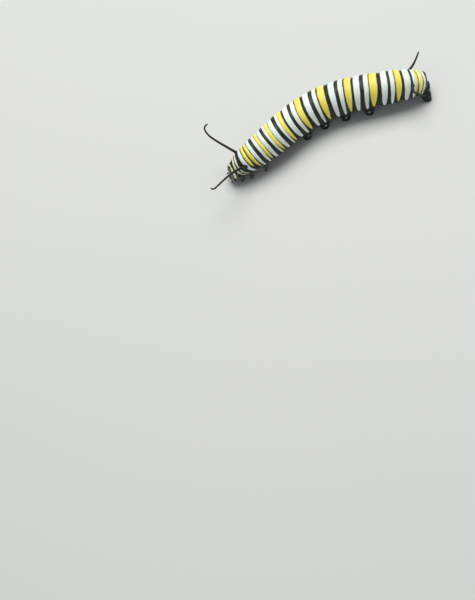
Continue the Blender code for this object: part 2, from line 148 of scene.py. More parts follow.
def tail_shape(along):
    """The last segment closes in a dome."""
    share = (along - FOLDS[-2]) / (LENGTH - FOLDS[-2])
    return np.sqrt(1.0 - clamp((share - TAIL_DOME_START) / (TAIL_DOME_END - TAIL_DOME_START)) ** 2)


def section_point(along, angle, radius):
    """Points on the body's section. The angle is 0 on the back and grows to the left."""
    centre, _, left, up = body_frame(along)
    high = np.cos(angle)
    high = np.where(high < 0, -BELLY_DEPTH * np.abs(high) ** BELLY_SQUARENESS, high)
    aside = left * (radius * np.sin(angle))[..., None]
    return centre + aside + up * (radius * HEIGHT_TO_WIDTH * high)[..., None]


def place_in(segment, share):
    """Distance behind the neck of a share of a segment's length."""
    i = NAMES.index(segment)
    return FOLDS[i] + share * LENGTHS[i]


print("tail end at", [round(float(line[-1]), 2) for line in AXIS], "mm")

# %% [markdown]
# ## Camera
# The photo looks down on the larva's left side, and the leaf under it is turned in the picture. The
# model stands on a level floor, so the camera turns instead: it stands 57 degrees up and is rolled. The
# lens and the distance were found from where the neck, the folds and the feeler tips lie.

# %% Camera at the photo's angle
CAMERA_TILT, CAMERA_ROLL = math.radians(90.0 - 57.0), math.radians(-24.524)
CAMERA_DISTANCE, CAMERA_LENS, SENSOR = 220.0, 69.376, 36.0
LOOK_AT = Vector((20.370 + NECK_X, 1.611 + NECK_Y, 3.502))
SHIFT_RIGHT, SHIFT_UP = 17.439, 34.930

stance = Matrix.Rotation(CAMERA_TILT, 3, "X") @ Matrix.Rotation(CAMERA_ROLL, 3, "Z")
eye = LOOK_AT + stance @ Vector((-SHIFT_RIGHT, -SHIFT_UP, CAMERA_DISTANCE))
lens = bpy.data.cameras.new("photo_camera")
lens.lens = CAMERA_LENS
lens.sensor_fit = "VERTICAL"
lens.sensor_height = SENSOR
lens.clip_start = 0.01
camera = bpy.data.objects.new("photo_camera", lens)
camera.matrix_world = Matrix.Translation(eye * MM) @ stance.to_4x4()
bpy.context.scene.collection.objects.link(camera)
bpy.context.scene.camera = camera
print("camera at", [round(value, 1) for value in eye], "mm")

# %% [markdown]
# ## Floor and light
# The floor is a plain pale sheet. One large soft lamp stands beyond the larva's back, where the photo's
# sky is, so that the back is bright and the flank falls into shade. A pale sky fills the shadows. The
# standard view keeps the yellow as strong as the photo's.

# %% Floor, lamps and sky
FLOOR_SIZE = 3.0
# The way to each lamp from the middle of the body, its distance and size in metres, power and colour
LAMPS = {
    "sky_lamp": ((0.17, 0.36, 1.0), 0.45, 0.34, 2.15, (1.0, 0.99, 0.96)),
    "side_lamp": ((-0.9, -0.75, 0.7), 0.6, 0.4, 0.17, (0.95, 0.98, 1.0)),
}
SKY_COLOUR, SKY_STRENGTH = (0.86, 0.92, 0.95, 1.0), 0.29


def select(*pieces):
    """Operators act on all that is selected, so only these pieces are, and the first is active."""
    bpy.ops.object.select_all(action="DESELECT")
    for piece in pieces:
        piece.select_set(True)
    if pieces:
        bpy.context.view_layer.objects.active = pieces[0]


def added(name, operator, **options):
    """The piece that an Add operator makes."""
    select()
    operator(**options)
    bpy.context.object.name = name
    return bpy.context.object


floor = added("studio_floor", bpy.ops.mesh.primitive_plane_add, size=FLOOR_SIZE)
for name, (towards, distance, size, power, colour) in LAMPS.items():
    lamp = bpy.data.lights.new(name, "AREA")
    lamp.size = size
    lamp.energy = power
    lamp.color = colour
    holder = bpy.data.objects.new(name, lamp)
    bpy.context.scene.collection.objects.link(holder)
    holder.location = Vector(towards).normalized() * distance
    holder.rotation_euler = Vector(towards).to_track_quat("Z", "Y").to_euler()
sky = bpy.data.worlds.new("pale_sky")
bpy.context.scene.world = sky
sky.use_nodes = True
sky.node_tree.nodes["Background"].inputs["Color"].default_value = SKY_COLOUR
sky.node_tree.nodes["Background"].inputs["Strength"].default_value = SKY_STRENGTH
bpy.context.scene.view_settings.view_transform = "Standard"
print("lamps:", list(LAMPS))

# %% [markdown]
# ## Shader sums written as Python
# A material is a web of nodes, and long sums are hard to read as a web. So a small class wraps a socket,
# and Python's own signs add the Math nodes. Every other node comes from one method.


# %% Sockets with signs
def sign(operation, swapped=False):
    """One of Python's signs, which adds a Math node."""
    return lambda wire, other: wire.math(operation, other, swapped=swapped)


class Wire:
    """The output of a node. Sums of wires and numbers make Math nodes."""

    __add__ = __radd__ = sign("ADD")
    __mul__ = __rmul__ = sign("MULTIPLY")
    __sub__ = sign("SUBTRACT")
    __rsub__ = sign("SUBTRACT", swapped=True)
    __truediv__ = sign("DIVIDE")
    __rtruediv__ = sign("DIVIDE", swapped=True)
    __pow__ = sign("POWER")
    highest = sign("MAXIMUM")

    def __init__(self, finish, socket):
        self.finish = finish
        self.socket = socket

    def math(self, operation, *others, swapped=False):
        values = [self, *others]
        if swapped:
            values.reverse()
        return self.finish.node("ShaderNodeMath", {"operation": operation}, dict(enumerate(values)))

    def clamped(self):
        return self.math("MINIMUM", 1.0).highest(0.0)

    def size(self):
        return self.math("ABSOLUTE")

    def edge(self, soft):
        """0 to 1 over a soft width round zero."""
        return (self / soft + 0.5).clamped()


class Finish:
    """A material with its shader, and the means to add nodes to it."""

    def __init__(self, name, **steady):
        self.material = bpy.data.materials.new(name)
        self.material.use_nodes = True
        self.tree = self.material.node_tree
        self.shader = self.tree.nodes["Principled BSDF"]
        for socket, value in steady.items():
            self.shader.inputs[socket.replace("_", " ")].default_value = value

    def node(self, kind, settings=None, sockets=None, out=0):
        """A node of any type. Its settings come first, then the values or wires of its sockets."""
        made = self.tree.nodes.new(kind)
        for setting, value in (settings or {}).items():
            if setting == "steps":
                ramp = made.color_ramp
                ramp.interpolation = "CONSTANT"
                for position, _ in value[1:-1]:
                    ramp.elements.new(position)
                ramp.elements[-1].position = value[-1][0]
                for element, (_, numbers) in zip(ramp.elements, value):
                    element.color = (*numbers, 1.0)
            else:
                setattr(made, setting, value)
        for socket, value in (sockets or {}).items():
            if isinstance(value, Wire):
                self.tree.links.new(value.socket, made.inputs[socket])
            else:
                made.inputs[socket].default_value = value
        return Wire(self, made.outputs[out])

    def feed(self, **wires):
        for socket, wire in wires.items():
            self.tree.links.new(wire.socket, self.shader.inputs[socket.replace("_", " ")])
        return self

    def attribute(self, name, out="Fac"):
        return self.node("ShaderNodeAttribute", {"attribute_name": name}, out=out)

    def place(self):
        """The point on the model, in metres."""
        return self.node("ShaderNodeTexCoord", out="Object")

    def noise(self, vector, scale, detail=2.0, roughness=0.5, stretch=None):
        """Noise from 0 to 1. The stretch says how much finer it is in each of the three ways."""
        if stretch:
            vector = self.node("ShaderNodeVectorMath", {"operation": "MULTIPLY"}, {0: vector, 1: stretch})
        sockets = {"Vector": vector, "Scale": scale, "Detail": detail, "Roughness": roughness}
        return self.node("ShaderNodeTexNoise", None, sockets)

    def mix(self, share, first, second):
        """A colour between two colours. A colour is three numbers or a wire."""
        first, second = (value if isinstance(value, Wire) else (*value, 1.0) for value in (first, second))
        return self.node("ShaderNodeMix", {"data_type": "RGBA"}, {0: share, 6: first, 7: second}, out=2)

    def part(self, vector, which):
        """One of the three numbers of a vector or a colour."""
        return self.node("ShaderNodeSeparateXYZ", None, {"Vector": vector}, out=which)

    def bump(self, height, depth):
        """A bump of a height from 0 to 1, whose full height is a depth in millimetres."""
        sockets = {"Height": height, "Distance": depth * MM, "Strength": 1.0}
        return self.node("ShaderNodeBump", None, sockets)


def plain_finish(name, tones, rough, scale, detail=2.0, fine=None, depth=None, end=None, **steady):
    """Two tones mixed by a noise. A finer noise can drive the roughness and bumps, and one end of a
    pulled form can have a colour: where it starts, how fast it grows, the colour and its shine."""
    finish = Finish(name, **steady)
    tone = finish.noise(finish.place(), scale, detail)
    grain = finish.noise(finish.place(), fine) if fine else tone
    colour, roughness = finish.mix(tone, *tones), rough[0] + grain * rough[1]
    if end:
        start, growth, end_colour, shine = end
        share = ((finish.attribute("ring") - start) * growth).clamped()
        colour = finish.mix(share, colour, end_colour)
        roughness = roughness - share * shine if shine else roughness
    if depth:
        finish.feed(Normal=finish.bump(grain, depth))
    return finish.feed(Base_Color=colour, Roughness=roughness)


FLOOR_FINISH = plain_finish(
    "pale_floor", ((0.65, 0.66, 0.65), (0.69, 0.69, 0.68)), (0.7, 0.1), 9.0, fine=900.0,
    Specular_IOR_Level=0.25,
)
floor.data.materials.append(FLOOR_FINISH.material)
print("floor nodes:", len(FLOOR_FINISH.tree.nodes))

# %% [markdown]
# ## Making a limb by hand, ring by ring
# A leg, a stump and a feeler are all one form: a closed tube whose rings change in size and place. By
# hand, a disc is added and pulled out with Extrude as often as there are rings, and each ring is then
# set in place. The helper below does exactly that. A bevelled curve is quicker to make, but its rings
# are all round, and a stump is oval and leans.


# %% Pulling rings
def coordinates(piece):
    flat = np.empty(len(piece.data.vertices) * 3, np.float32)
    piece.data.vertices.foreach_get("co", flat)
    return flat.reshape(-1, 3).astype(float)


def set_coordinates(piece, points):
    piece.data.vertices.foreach_set("co", np.asarray(points, np.float32).ravel())
    piece.data.update()


def mark(piece, name, values):
    """Keeps a number for each point of the mesh, or one for all, for the material to read."""
    layer = piece.data.attributes.get(name) or piece.data.attributes.new(name, "FLOAT", "POINT")
    layer.data.foreach_set("value", np.full(len(piece.data.vertices), values, np.float32))


def in_edit_mode(piece, operator, times=1, **options):
    """Runs an operator on all of a mesh in Edit Mode."""
    select(piece)
    bpy.ops.object.mode_set(mode="EDIT")
    bpy.ops.mesh.select_all(action="SELECT")
    for _ in range(times):
        operator(**options)
    bpy.ops.object.mode_set(mode="OBJECT")


def face_out(piece):
    """Turns every face of a closed mesh outwards."""
    in_edit_mode(piece, bpy.ops.mesh.normals_make_consistent, inside=False)


def circle(sides):
    return 2 * math.pi * np.arange(sides) / sides


def pull_rings(name, rings):
    """A closed tube through rings of points: a disc is pulled out once for each ring."""
    rings = np.asarray(rings, float)
    count, sides = rings.shape[:2]
    piece = added(name, bpy.ops.mesh.primitive_circle_add, vertices=sides, radius=1.0, fill_type="NGON")
    pull = {"value": (0.0, 0.0, 1.0)}
    in_edit_mode(piece, bpy.ops.mesh.extrude_region_move, count - 1, TRANSFORM_OT_translate=pull)
    here = coordinates(piece)
    ring = np.clip(np.round(here[:, 2]).astype(int), 0, count - 1)
    turn = np.arctan2(here[:, 1], here[:, 0]) / (2 * math.pi) * sides
    set_coordinates(piece, rings[ring, np.round(turn).astype(int) % sides])
    mark(piece, "ring", ring / (count - 1))
    face_out(piece)
    return piece


def ring_shares(piece):
    """For each point of a pulled tube how far along its rings it is, from 0 to 1."""
    return np.array([point.value for point in piece.data.attributes["ring"].data])


def smooth_path(points, pieces=12):
    """Points on a smooth curve through the given ones, and their distances along it."""
    points = np.asarray(points, float)
    padded = np.concatenate([[2 * points[0] - points[1]], points, [2 * points[-1] - points[-2]]])
    t = (np.arange(pieces) / pieces)[:, None]
    path = [
        0.5 * (2 * b + (c - a) * t + (2 * a - 5 * b + 4 * c - d) * t**2 + (3 * b - a - 3 * c + d) * t**3)
        for a, b, c, d in zip(padded, padded[1:], padded[2:], padded[3:])
    ]
    path = np.concatenate([*path, points[-1:]])
    return path, np.concatenate([[0.0], np.cumsum(np.linalg.norm(np.diff(path, axis=0), axis=1))])


def even_path(points, count):
    """Points evenly spaced along the smooth curve, with the share of the way at each."""
    path, way = smooth_path(points)
    even = np.linspace(0.0, 1.0, count)
    return np.stack([np.interp(even, way / way[-1], line) for line in path.T], axis=1), even


def rings_round(path, radii, sides):
    """Rings square to a path. Each ring turns as little as it can from the one before."""
    ahead = unit(np.gradient(path, axis=0))
    across = unit(np.cross(ahead[0], (0.3, 0.5, 0.81)))
    turns = circle(sides)[:, None]
    rings = []
    for point, way, radius in zip(path, ahead, radii):
        across = unit(across - way * (across @ way))
        rings.append(point + radius * (np.cos(turns) * across + np.sin(turns) * np.cross(way, across)))
    return rings


def joined(name, pieces):
    """Several meshes as one object."""
    select(*pieces)
    bpy.ops.object.join()
    pieces[0].name = name
    return pieces[0]


def apply_modifiers(piece):
    select(piece)
    for modifier in list(piece.modifiers):
        bpy.ops.object.modifier_apply(modifier=modifier.name)


def settle(piece, finish, nodes=()):
    """Takes a finished mesh from millimetres to metres, and ties it to the model."""
    piece.data.transform(Matrix.Scale(MM, 4))
    piece.data.materials.clear()
    piece.data.materials.append(finish.material)
    piece.data.shade_smooth()
    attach(piece, "root")
    if nodes:
        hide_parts(*nodes)
    print(f"{piece.name}: {sum(len(face.vertices) - 2 for face in piece.data.polygons)} triangles")


# %% [markdown]
# ## One small form, many copies
# Eye beads, breathing holes, hooks and bristles repeat. Each is modelled once, standing on its origin,
# and then copied. Every copy has a mesh of its own, whose points are carried to their place on the
# surface, so that the copies can be joined as one piece.


# %% Copies
def facing(way):
    """Two ways square to each other and to a third."""
    across = unit(np.cross(way, (0.21, 0.34, 0.92)))
    return across, np.cross(way, across)


def way_out(here, a, b, centre):
    """The way out of a surface at a point, from two points beside it and one deep inside."""
    way = unit(np.cross(a - here, b - here))
    return way if way @ (here - centre) > 0 else -way


def turned(name, profile, sides, oval=1.0):
    """A small turned form that stands on its origin, by its radius and height ring by ring."""
    turns = circle(sides)
    rings = [
        np.stack([radius * oval * np.cos(turns), radius * np.sin(turns), np.full(sides, height)], axis=1)
        for radius, height in profile
    ]
    return pull_rings(name, rings)


def copy_to(model, origin, ways, size=1.0, map_place=None):
    """A copy with its own mesh at a place. The ways say where its x, y and z now point."""
    twin = model.copy()
    twin.data = model.data.copy()
    bpy.context.scene.collection.objects.link(twin)
    set_coordinates(twin, np.asarray(origin) + size * coordinates(model) @ np.array(ways))
    if map_place:
        for corner in twin.data.uv_layers[0].data:
            corner.uv += Vector(map_place)
    return twin


def joined_copies(name, model, places):
    """Copies at many places as one piece. The model itself goes away."""
    twins = [copy_to(model, *place) for place in places]
    bpy.data.objects.remove(model)
    return joined(name, twins)


# %% [markdown]
# ## The trunk of the body
# The body is a soft tube that is drawn in at every fold. A cylinder is added and its long edges are cut
# into many rings. Then each point moves to its place: the height on the cylinder becomes the distance
# behind the neck, and the turn round it becomes the turn round the section. The neck ends inside the
# head, and the tail closes in a dome.

# %% Cylinder to body
TRUNK_SIDES, TRUNK_CUTS = 128, 150
NECK_REACH, NECK_ROUNDING = 0.3, 0.34
NECK_SHARE, NECK_GROWTH = 0.86, 0.16

trunk = added("larva_skin", bpy.ops.mesh.primitive_cylinder_add, vertices=TRUNK_SIDES, radius=1.0, depth=1.0)
upright = coordinates(trunk)
bpy.context.tool_settings.mesh_select_mode = (False, True, False)
in_edit_mode(trunk, bpy.ops.mesh.select_all, action="DESELECT")
for edge in trunk.data.edges:
    a, b = edge.vertices
    edge.select = bool(abs(upright[a, 2] - upright[b, 2]) > 0.5)
bpy.ops.object.mode_set(mode="EDIT")
bpy.ops.mesh.subdivide(number_cuts=TRUNK_CUTS)
bpy.ops.object.mode_set(mode="OBJECT")
bpy.context.tool_settings.mesh_select_mode = (True, False, False)
upright = coordinates(trunk)
along = -NECK_REACH + (upright[:, 2] + 0.5) * (LENGTH + NECK_REACH)
angle = np.arctan2(upright[:, 0], upright[:, 1])
collar = clamp((along + NECK_REACH) / (NECK_REACH + NECK_ROUNDING))
neck_share = NECK_SHARE + NECK_GROWTH * np.sqrt(1.0 - (1.0 - collar) ** 2)
set_coordinates(trunk, section_point(along, angle, half_width(along) * tail_shape(along) * neck_share))
face_out(trunk)
print("trunk rings:", TRUNK_CUTS + 2, "points:", len(trunk.data.vertices))

# %% [markdown]
# ## Stumps that grip
# The third to sixth abdomen segments carry a pair of fleshy stumps each, and the last segment a larger
# pair that clasps from behind. They are skin too, pinched by a crease or two, and each ends in a flat
# sole. A row gives a ring's height and its radius along and across the body.

# %% Stumps
STUMP_SIDES = 22
STUMP_RINGS = (
    (2.4, 1.15, 0.95), (1.85, 1.17, 0.97), (1.5, 1.15, 0.95), (1.28, 1.04, 0.88), (1.16, 1.05, 0.89),
    (0.95, 1.02, 0.87), (0.72, 0.88, 0.76), (0.58, 0.79, 0.68), (0.5, 0.78, 0.67), (0.38, 0.75, 0.66),
    (0.22, 0.8, 0.7), (0.08, 0.79, 0.69), (0.0, 0.7, 0.6),
)
CLASPER_RINGS = (
    (2.35, 0.35, 0.3), (2.15, 0.72, 0.6), (1.7, 1.02, 0.86), (1.4, 1.08, 0.91), (1.15, 1.03, 0.87),
    (1.02, 1.03, 0.88), (0.75, 0.92, 0.8), (0.58, 0.8, 0.7), (0.48, 0.78, 0.68), (0.36, 0.79, 0.7),
    (0.22, 0.86, 0.76), (0.08, 0.85, 0.75), (0.0, 0.75, 0.65),
)
# The rings, how far out the root and the foot are, how far back the foot is, and the radii of the sole
STUMP = (STUMP_RINGS, 1.55, 2.05, 0.0, (0.66, 0.56))
CLASPER = (CLASPER_RINGS, 1.0, 1.5, 0.45, (0.7, 0.61))
STUMP_SHARE, CLASPER_SHARE = 0.5, 0.35
# The segment, the share of its length, the side and the form of each. The claspers come last
FEET = [(f"abdomen_{number}", STUMP_SHARE, side, STUMP) for number in (3, 4, 5, 6) for side in (1, -1)]
FEET += [("abdomen_10", CLASPER_SHARE, side, CLASPER) for side in (1, -1)]


def stump_middle(segment, share, side, form, height):
    """The middle of a stump at a height, with its forward and outward ways."""
    rings, root, foot, foot_back, _ = form
    centre, forward, left = level_frame(place_in(segment, share))
    down = 1.0 - height / rings[0][0]
    middle = centre + left * side * (root + (foot - root) * down) - forward * (foot_back * down)
    return np.array([middle[0], middle[1], height]), forward, left * side


def round_foot(turn, forward, out, radii):
    """The way from the middle of a stump to its outside, at a turn from its front."""
    turn = np.asarray(turn)[..., None]
    return np.cos(turn) * forward * radii[0] + np.sin(turn) * out * radii[1]


def make_stump(*foot):
    rings = []
    for height, *radii in foot[-1][0]:
        middle, forward, out = stump_middle(*foot, height)
        rings.append(middle + round_foot(circle(STUMP_SIDES), forward, out, radii))
    return pull_rings("stump", rings)


stumps = [make_stump(*foot) for foot in FEET]
print("stumps:", len(stumps))

# %% [markdown]
# ## One skin
# The real larva has one skin, with no seam where a stump grows. The trunk and the stumps are joined and
# remeshed with small voxels, which melts them together, and smoothed so that the roots flow into the
# belly. The remesh loses the rings, so each point then asks the axis again where it is: how far behind
# the neck and how far round.

# %% Remesh and ask the axis
VOXEL, SMOOTHING, SMOOTHING_STEPS = 0.116, 0.5, 7
PLACE_SPACING, POINTS_AT_ONCE = 0.03, 4000

skin = joined("larva_skin", [trunk, *stumps])
remesh = skin.modifiers.new("one_skin", "REMESH")
remesh.mode = "VOXEL"
remesh.voxel_size = VOXEL
melt = skin.modifiers.new("melt", "SMOOTH")
melt.factor = SMOOTHING
melt.iterations = SMOOTHING_STEPS
apply_modifiers(skin)


def reach_along(offsets, ways):
    return np.einsum("ij,ij->i", offsets, ways)


def nearest_on_axis(points):
    """Distance behind the neck of each point, by the nearest of many places on the axis."""
    places = np.arange(-NECK_REACH, LENGTH + 0.01, PLACE_SPACING)
    centres = body_frame(places)[0]
    found = []
    for start in range(0, len(points), POINTS_AT_ONCE):
        apart = points[start : start + POINTS_AT_ONCE, None, :] - centres[None, :, :]
        found.extend(places[(apart**2).sum(axis=2).argmin(axis=1)])
    centre, forward, _, _ = body_frame(found)
    return found - reach_along(points - centre, forward)


points = coordinates(skin)
along = nearest_on_axis(points)
centre, forward, left, up = body_frame(along)
out_left, out_up = reach_along(points - centre, left), reach_along(points - centre, up)
angle = np.arctan2(out_left, out_up)
print("skin points:", len(points))

# %% [markdown]
# ## Where the bands lie
# Rings of white, black, cream and yellow run round the body. In the photo they lean: high on the back
# they sit further forward than at the sides, and more so on the left. So a band is placed by a leaning
# distance, which is the distance behind the neck plus a part that changes round the body. The rows give
# that part at some places: on the back, on the left side, and bowed between the two.

# %% Leaning distance
LEAN = np.array([
    (0.0, 0.15, 0.4, 0.1), (5.0, 0.7, 0.4, -0.05), (9.0, 0.8, 0.6, 0.1),
    (13.5, 0.8, 0.85, 0.25), (18.0, 0.65, 0.8, 0.1), (22.5, 0.45, 0.65, -0.05),
    (28.0, 0.15, 0.55, -0.15), (37.0, -0.05, 0.2, -0.2), (42.0, -0.25, -0.4, -0.15),
])
# Low on the flank of the thorax the bands sweep back
SWEEP, SWEEP_TURN, SWEEP_SPREAD, SWEEP_REACH = 1.1, 84.0, 40.0, 7.0


def leaning(along, angle):
    inside = np.clip(along, 0.0, LENGTH)
    back, left, bow = (smooth(LEAN[:, k], inside, LEAN[:, 0]) for k in (1, 2, 3))
    lean = along + back * np.cos(angle) + left * np.sin(angle) + bow * np.sin(2.0 * angle)
    low = clamp((np.abs(np.degrees(angle)) - SWEEP_TURN) / SWEEP_SPREAD)
    return lean - SWEEP * low**1.5 * clamp(1.0 - along / SWEEP_REACH)


lean = leaning(along, angle)
print("the bands lean by up to", round(float(np.abs(lean - along).max()), 2), "mm")

# %% [markdown]
# ## The bands, one by one
# For each colour the rows give the start and the end of each band from the neck back. A white or cream
# band keeps its width down the flank and ends bluntly, a yellow one gets narrower and ends in a point,
# and the black closes round them. A third number is the turn from the back at which that band ends, if
# it isn't the turn of its colour.

# %% Band edges
BANDS = {
    "white": (
        (2.35, 3.0, 150.0), (4.65, 5.25), (7.3, 8.15), (10.1, 11.0), (13.6, 14.7), (18.15, 19.25),
        (23.15, 24.25), (27.7, 28.8), (32.7, 33.8), (36.7, 37.8),
    ),
    "cream": (
        (0.5, 0.95), (1.2, 1.5), (5.9, 6.5), (8.8, 9.3), (11.75, 12.3), (15.35, 16.2), (20.05, 20.8),
        (24.95, 25.8), (29.55, 30.4), (34.3, 35.05), (38.2, 38.8), (39.97, 40.25),
    ),
    "yellow": (
        (3.2, 3.7, 86.0), (3.95, 4.5), (6.6, 7.2), (9.35, 10.0), (12.35, 13.15), (16.4, 17.55),
        (21.1, 22.35), (26.1, 27.25), (30.6, 31.95), (35.25, 36.25), (38.75, 39.05), (39.17, 39.85),
    ),
}
# For each colour the turns where its bands start to narrow and where they end, how late and how bluntly
NARROWING = {
    "white": (15.0, 121.0, 2.2, 0.5),
    "cream": (15.0, 119.0, 2.2, 0.5),
    "yellow": (32.0, 110.0, 2.0, 0.8),
}
for colour, rows in BANDS.items():
    print(colour, "bands:", len(rows), "widest:", round(max(row[1] - row[0] for row in rows), 2), "mm")

# %% [markdown]
# ## Folds and swellings
# The skin sinks at every fold and swells between two folds, more so low on the flank, where a soft
# ridge runs along each side. Each pale band stands a little proud of the black, with a shallow ring at
# its borders. A hard plate with a low rim covers the end of the body over the claspers. Each point moves
# along its own normal by the height that these forms add up to. A sculpting brush would do the same by
# eye.

# %% Relief
# Where the folds lie on the leaning distance: in the dark line in front of each segment's first band
SKIN_FOLDS = np.array([0.3, 1.7, 3.8, 7.25, 10.05, 13.35, 17.85, 22.75, 27.45, 32.3, 36.5, 39.1, 39.9, 41.0])
FOLD_SINK, FOLD_SHARPNESS = 0.055, 0.4
CREASE_DEPTH, CREASE_WIDTH = 0.11, 0.13
RING_DEPTH, RING_WIDTH = 0.035, 0.09
BAND_LIFT, BAND_SLOPE = 0.035, 0.16
WRINKLE_HEIGHT, WRINKLES_EACH_MM = 0.009, 1.9
FLANK_SWELL, FLANK_TURN, FLANK_SPREAD = 0.11, 109.0, 15.0
FLANK_CREASE, FLANK_CREASE_TURN, FLANK_CREASE_SPREAD = 0.07, 89.0, 6.0
# The relief fades where the skin leaves the trunk for a stump, and before the neck
TRUNK_END, TRUNK_FADE, NECK_FADE_FROM, NECK_FADE = 1.13, 0.1, -0.2, 0.3
# The plate's sizes as seen from behind
PLATE_WIDE, PLATE_HIGH, PLATE_MIDDLE, PLATE_BEHIND = 1.45, 1.2, 0.3, 0.75
PLATE_RIM, PLATE_RIM_WIDTH, PLATE_LIFT = 0.06, 0.21, 0.05


def bell(distance, width):
    return np.exp(-((distance / width) ** 2))


def plate_depth(along, out_left, out_up):
    """How deep points lie inside the hard plate on the end of the body, in millimetres."""
    reach = np.sqrt((out_left / PLATE_WIDE) ** 2 + ((out_up - PLATE_MIDDLE) / PLATE_HIGH) ** 2)
    return np.clip(np.where(along > LENGTH - PLATE_BEHIND, (1.0 - reach) * PLATE_HIGH, -1.0), -1.0, 1.0)


def relief(along, angle, lean):
    """Height of the skin over its plain form, in millimetres."""
    last = len(NAMES) - 1
    i = np.clip(np.searchsorted(SKIN_FOLDS, lean, side="right") - 1, 0, last)
    share = clamp((lean - SKIN_FOLDS[i]) / (SKIN_FOLDS[i + 1] - SKIN_FOLDS[i]))
    swell = np.sin(math.pi * np.where(i == last, np.minimum(share, 0.5), share))
    fold = np.abs(lean[:, None] - SKIN_FOLDS[None, 1:-1]).min(axis=1)
    starts, ends = np.array([row[:2] for rows in BANDS.values() for row in rows]).T
    outside = (np.abs(lean[:, None] - (starts + ends) / 2) - (ends - starts) / 2).min(axis=1)
    turn = np.abs(np.degrees(angle))
    ridge = FLANK_SWELL * bell(turn - FLANK_TURN, FLANK_SPREAD)
    ridge -= FLANK_CREASE * bell(turn - FLANK_CREASE_TURN, FLANK_CREASE_SPREAD)
    waves = 2 * math.pi * WRINKLES_EACH_MM * lean
    wander = np.sin(waves + 2.5 * np.sin(angle * 3.0)) + np.sin(waves * 1.37 + 3.0 * np.cos(angle * 2.0))
    return (
        BAND_LIFT * clamp(0.5 - outside / BAND_SLOPE)
        - FOLD_SINK * half_width(along) * (1.0 - swell**FOLD_SHARPNESS)
        - CREASE_DEPTH * bell(fold, CREASE_WIDTH)
        - RING_DEPTH * bell(outside, RING_WIDTH)
        + ridge * np.sqrt(swell)
        + WRINKLE_HEIGHT * wander
    )


flat_share = np.abs(out_up) / (HEIGHT_TO_WIDTH * half_width(along) * np.where(out_up < 0, BELLY_DEPTH, 1.0))
flat_share = flat_share ** np.where(out_up < 0, 1.0 / BELLY_SQUARENESS, 1.0)
from_axis = np.sqrt((out_left / half_width(along)) ** 2 + flat_share**2)
on_trunk = clamp((TRUNK_END - from_axis) / TRUNK_FADE) * clamp((along - NECK_FADE_FROM) / NECK_FADE)
normals = np.empty(len(points) * 3, np.float32)
skin.data.vertex_normals.foreach_get("vector", normals)
plate = plate_depth(along, out_left, out_up)
plate_form = PLATE_LIFT * clamp(plate / PLATE_RIM_WIDTH) - PLATE_RIM * bell(plate, PLATE_RIM_WIDTH)
height = relief(along, angle, lean)
set_coordinates(skin, points + normals.reshape(-1, 3) * (height * on_trunk + plate_form)[:, None])
print("deepest fold:", round(float(-height.min()), 3), "mm")

# %% [markdown]
# ## What the skin's material needs to know
# The material can't work out a curved body's distances by itself, so each point keeps them: its place
# on the body as if the body were straight, its turn from the back, and how deep it lies inside the pale
# spot of a stump, the black skin round a feeler or the hard plate. Numbers that change evenly over the
# surface stay sharp when the shader cuts them, which painted points wouldn't.

# %% Marks on the skin
# The segment, the share of its length and the turn from the back where each feeler grows. Left is plus
FEELER_ROOTS = {
    "feeler_front_left": ("thorax_2", 0.24, 62.0),
    "feeler_front_right": ("thorax_2", 0.34, -50.0),
    "feeler_rear_left": ("abdomen_8", 0.54, 50.0),
    "feeler_rear_right": ("abdomen_8", 0.54, -50.0),
}
# How far round a root the skin stays black, also where a band would cross it
ROOT_DARK = {"thorax_2": 0.5, "abdomen_8": 0.4}
SPOT_HEIGHT, SPOT_LONG, SPOT_HIGH = 1.12, 0.25, 0.15
# A stump's spot lies on its outside, within these reaches of its middle
SPOT_AHEAD, SPOT_OUT_FROM, SPOT_OUT_TO = 1.5, 0.25, 2.0


def feeler_root(name):
    segment, share, turn = FEELER_ROOTS[name]
    along = np.array(place_in(segment, share))
    return section_point(along, np.array(math.radians(turn)), half_width(along))


def spot_depth(points):
    """How deep points lie inside the pale oval on the outside of a stump. The claspers have none."""
    depth = np.full(len(points), -1.0)
    for foot in FEET[:-2]:
        middle, forward, out = stump_middle(*foot, SPOT_HEIGHT)
        offset = points - middle
        ahead, aside = offset @ forward, offset @ out
        reach = np.sqrt((ahead / SPOT_LONG) ** 2 + (offset[:, 2] / SPOT_HIGH) ** 2)
        near = (np.abs(ahead) < SPOT_AHEAD) & (aside > SPOT_OUT_FROM) & (aside < SPOT_OUT_TO)
        depth = np.maximum(depth, np.where(near, (1.0 - reach) * SPOT_HIGH, -1.0))
    return depth


def dark_depth(points):
    """How deep points lie inside the black skin round the root of a feeler."""
    rounds = [
        ROOT_DARK[row[0]] - np.linalg.norm(points - feeler_root(name), axis=1)
        for name, row in FEELER_ROOTS.items()
    ]
    return np.clip(np.max(rounds, axis=0), -1.0, 1.0)


mark(skin, "spot", spot_depth(points))
mark(skin, "dark", dark_depth(points))
mark(skin, "plate", plate)
mark(skin, "turn", np.abs(np.degrees(angle)))
straight = np.stack([lean, out_left, out_up], axis=1)
layer = skin.data.attributes.new("straight", "FLOAT_VECTOR", "POINT")
layer.data.foreach_set("vector", straight.astype(np.float32).ravel())
print("marks:", [layer.name for layer in skin.data.attributes if layer.data_type.startswith("FLOAT")])

# %% [markdown]
# ## Bands in the shader
# The rows of the bands go into a Color Ramp for each colour, not as colours but as numbers. Between two
# bands the ramp steps, and its three channels give the nearest band's middle, half width and last turn.
# The sum that follows tells how deep a point lies inside that band, exactly, also where a band ends in
# a point much finer than the mesh.

# %% Ramp of band edges
RAMP_CELLS = 255
WIDEST, HALF_TURN = 2.0, 180.0
MM_PAST_END = 0.03


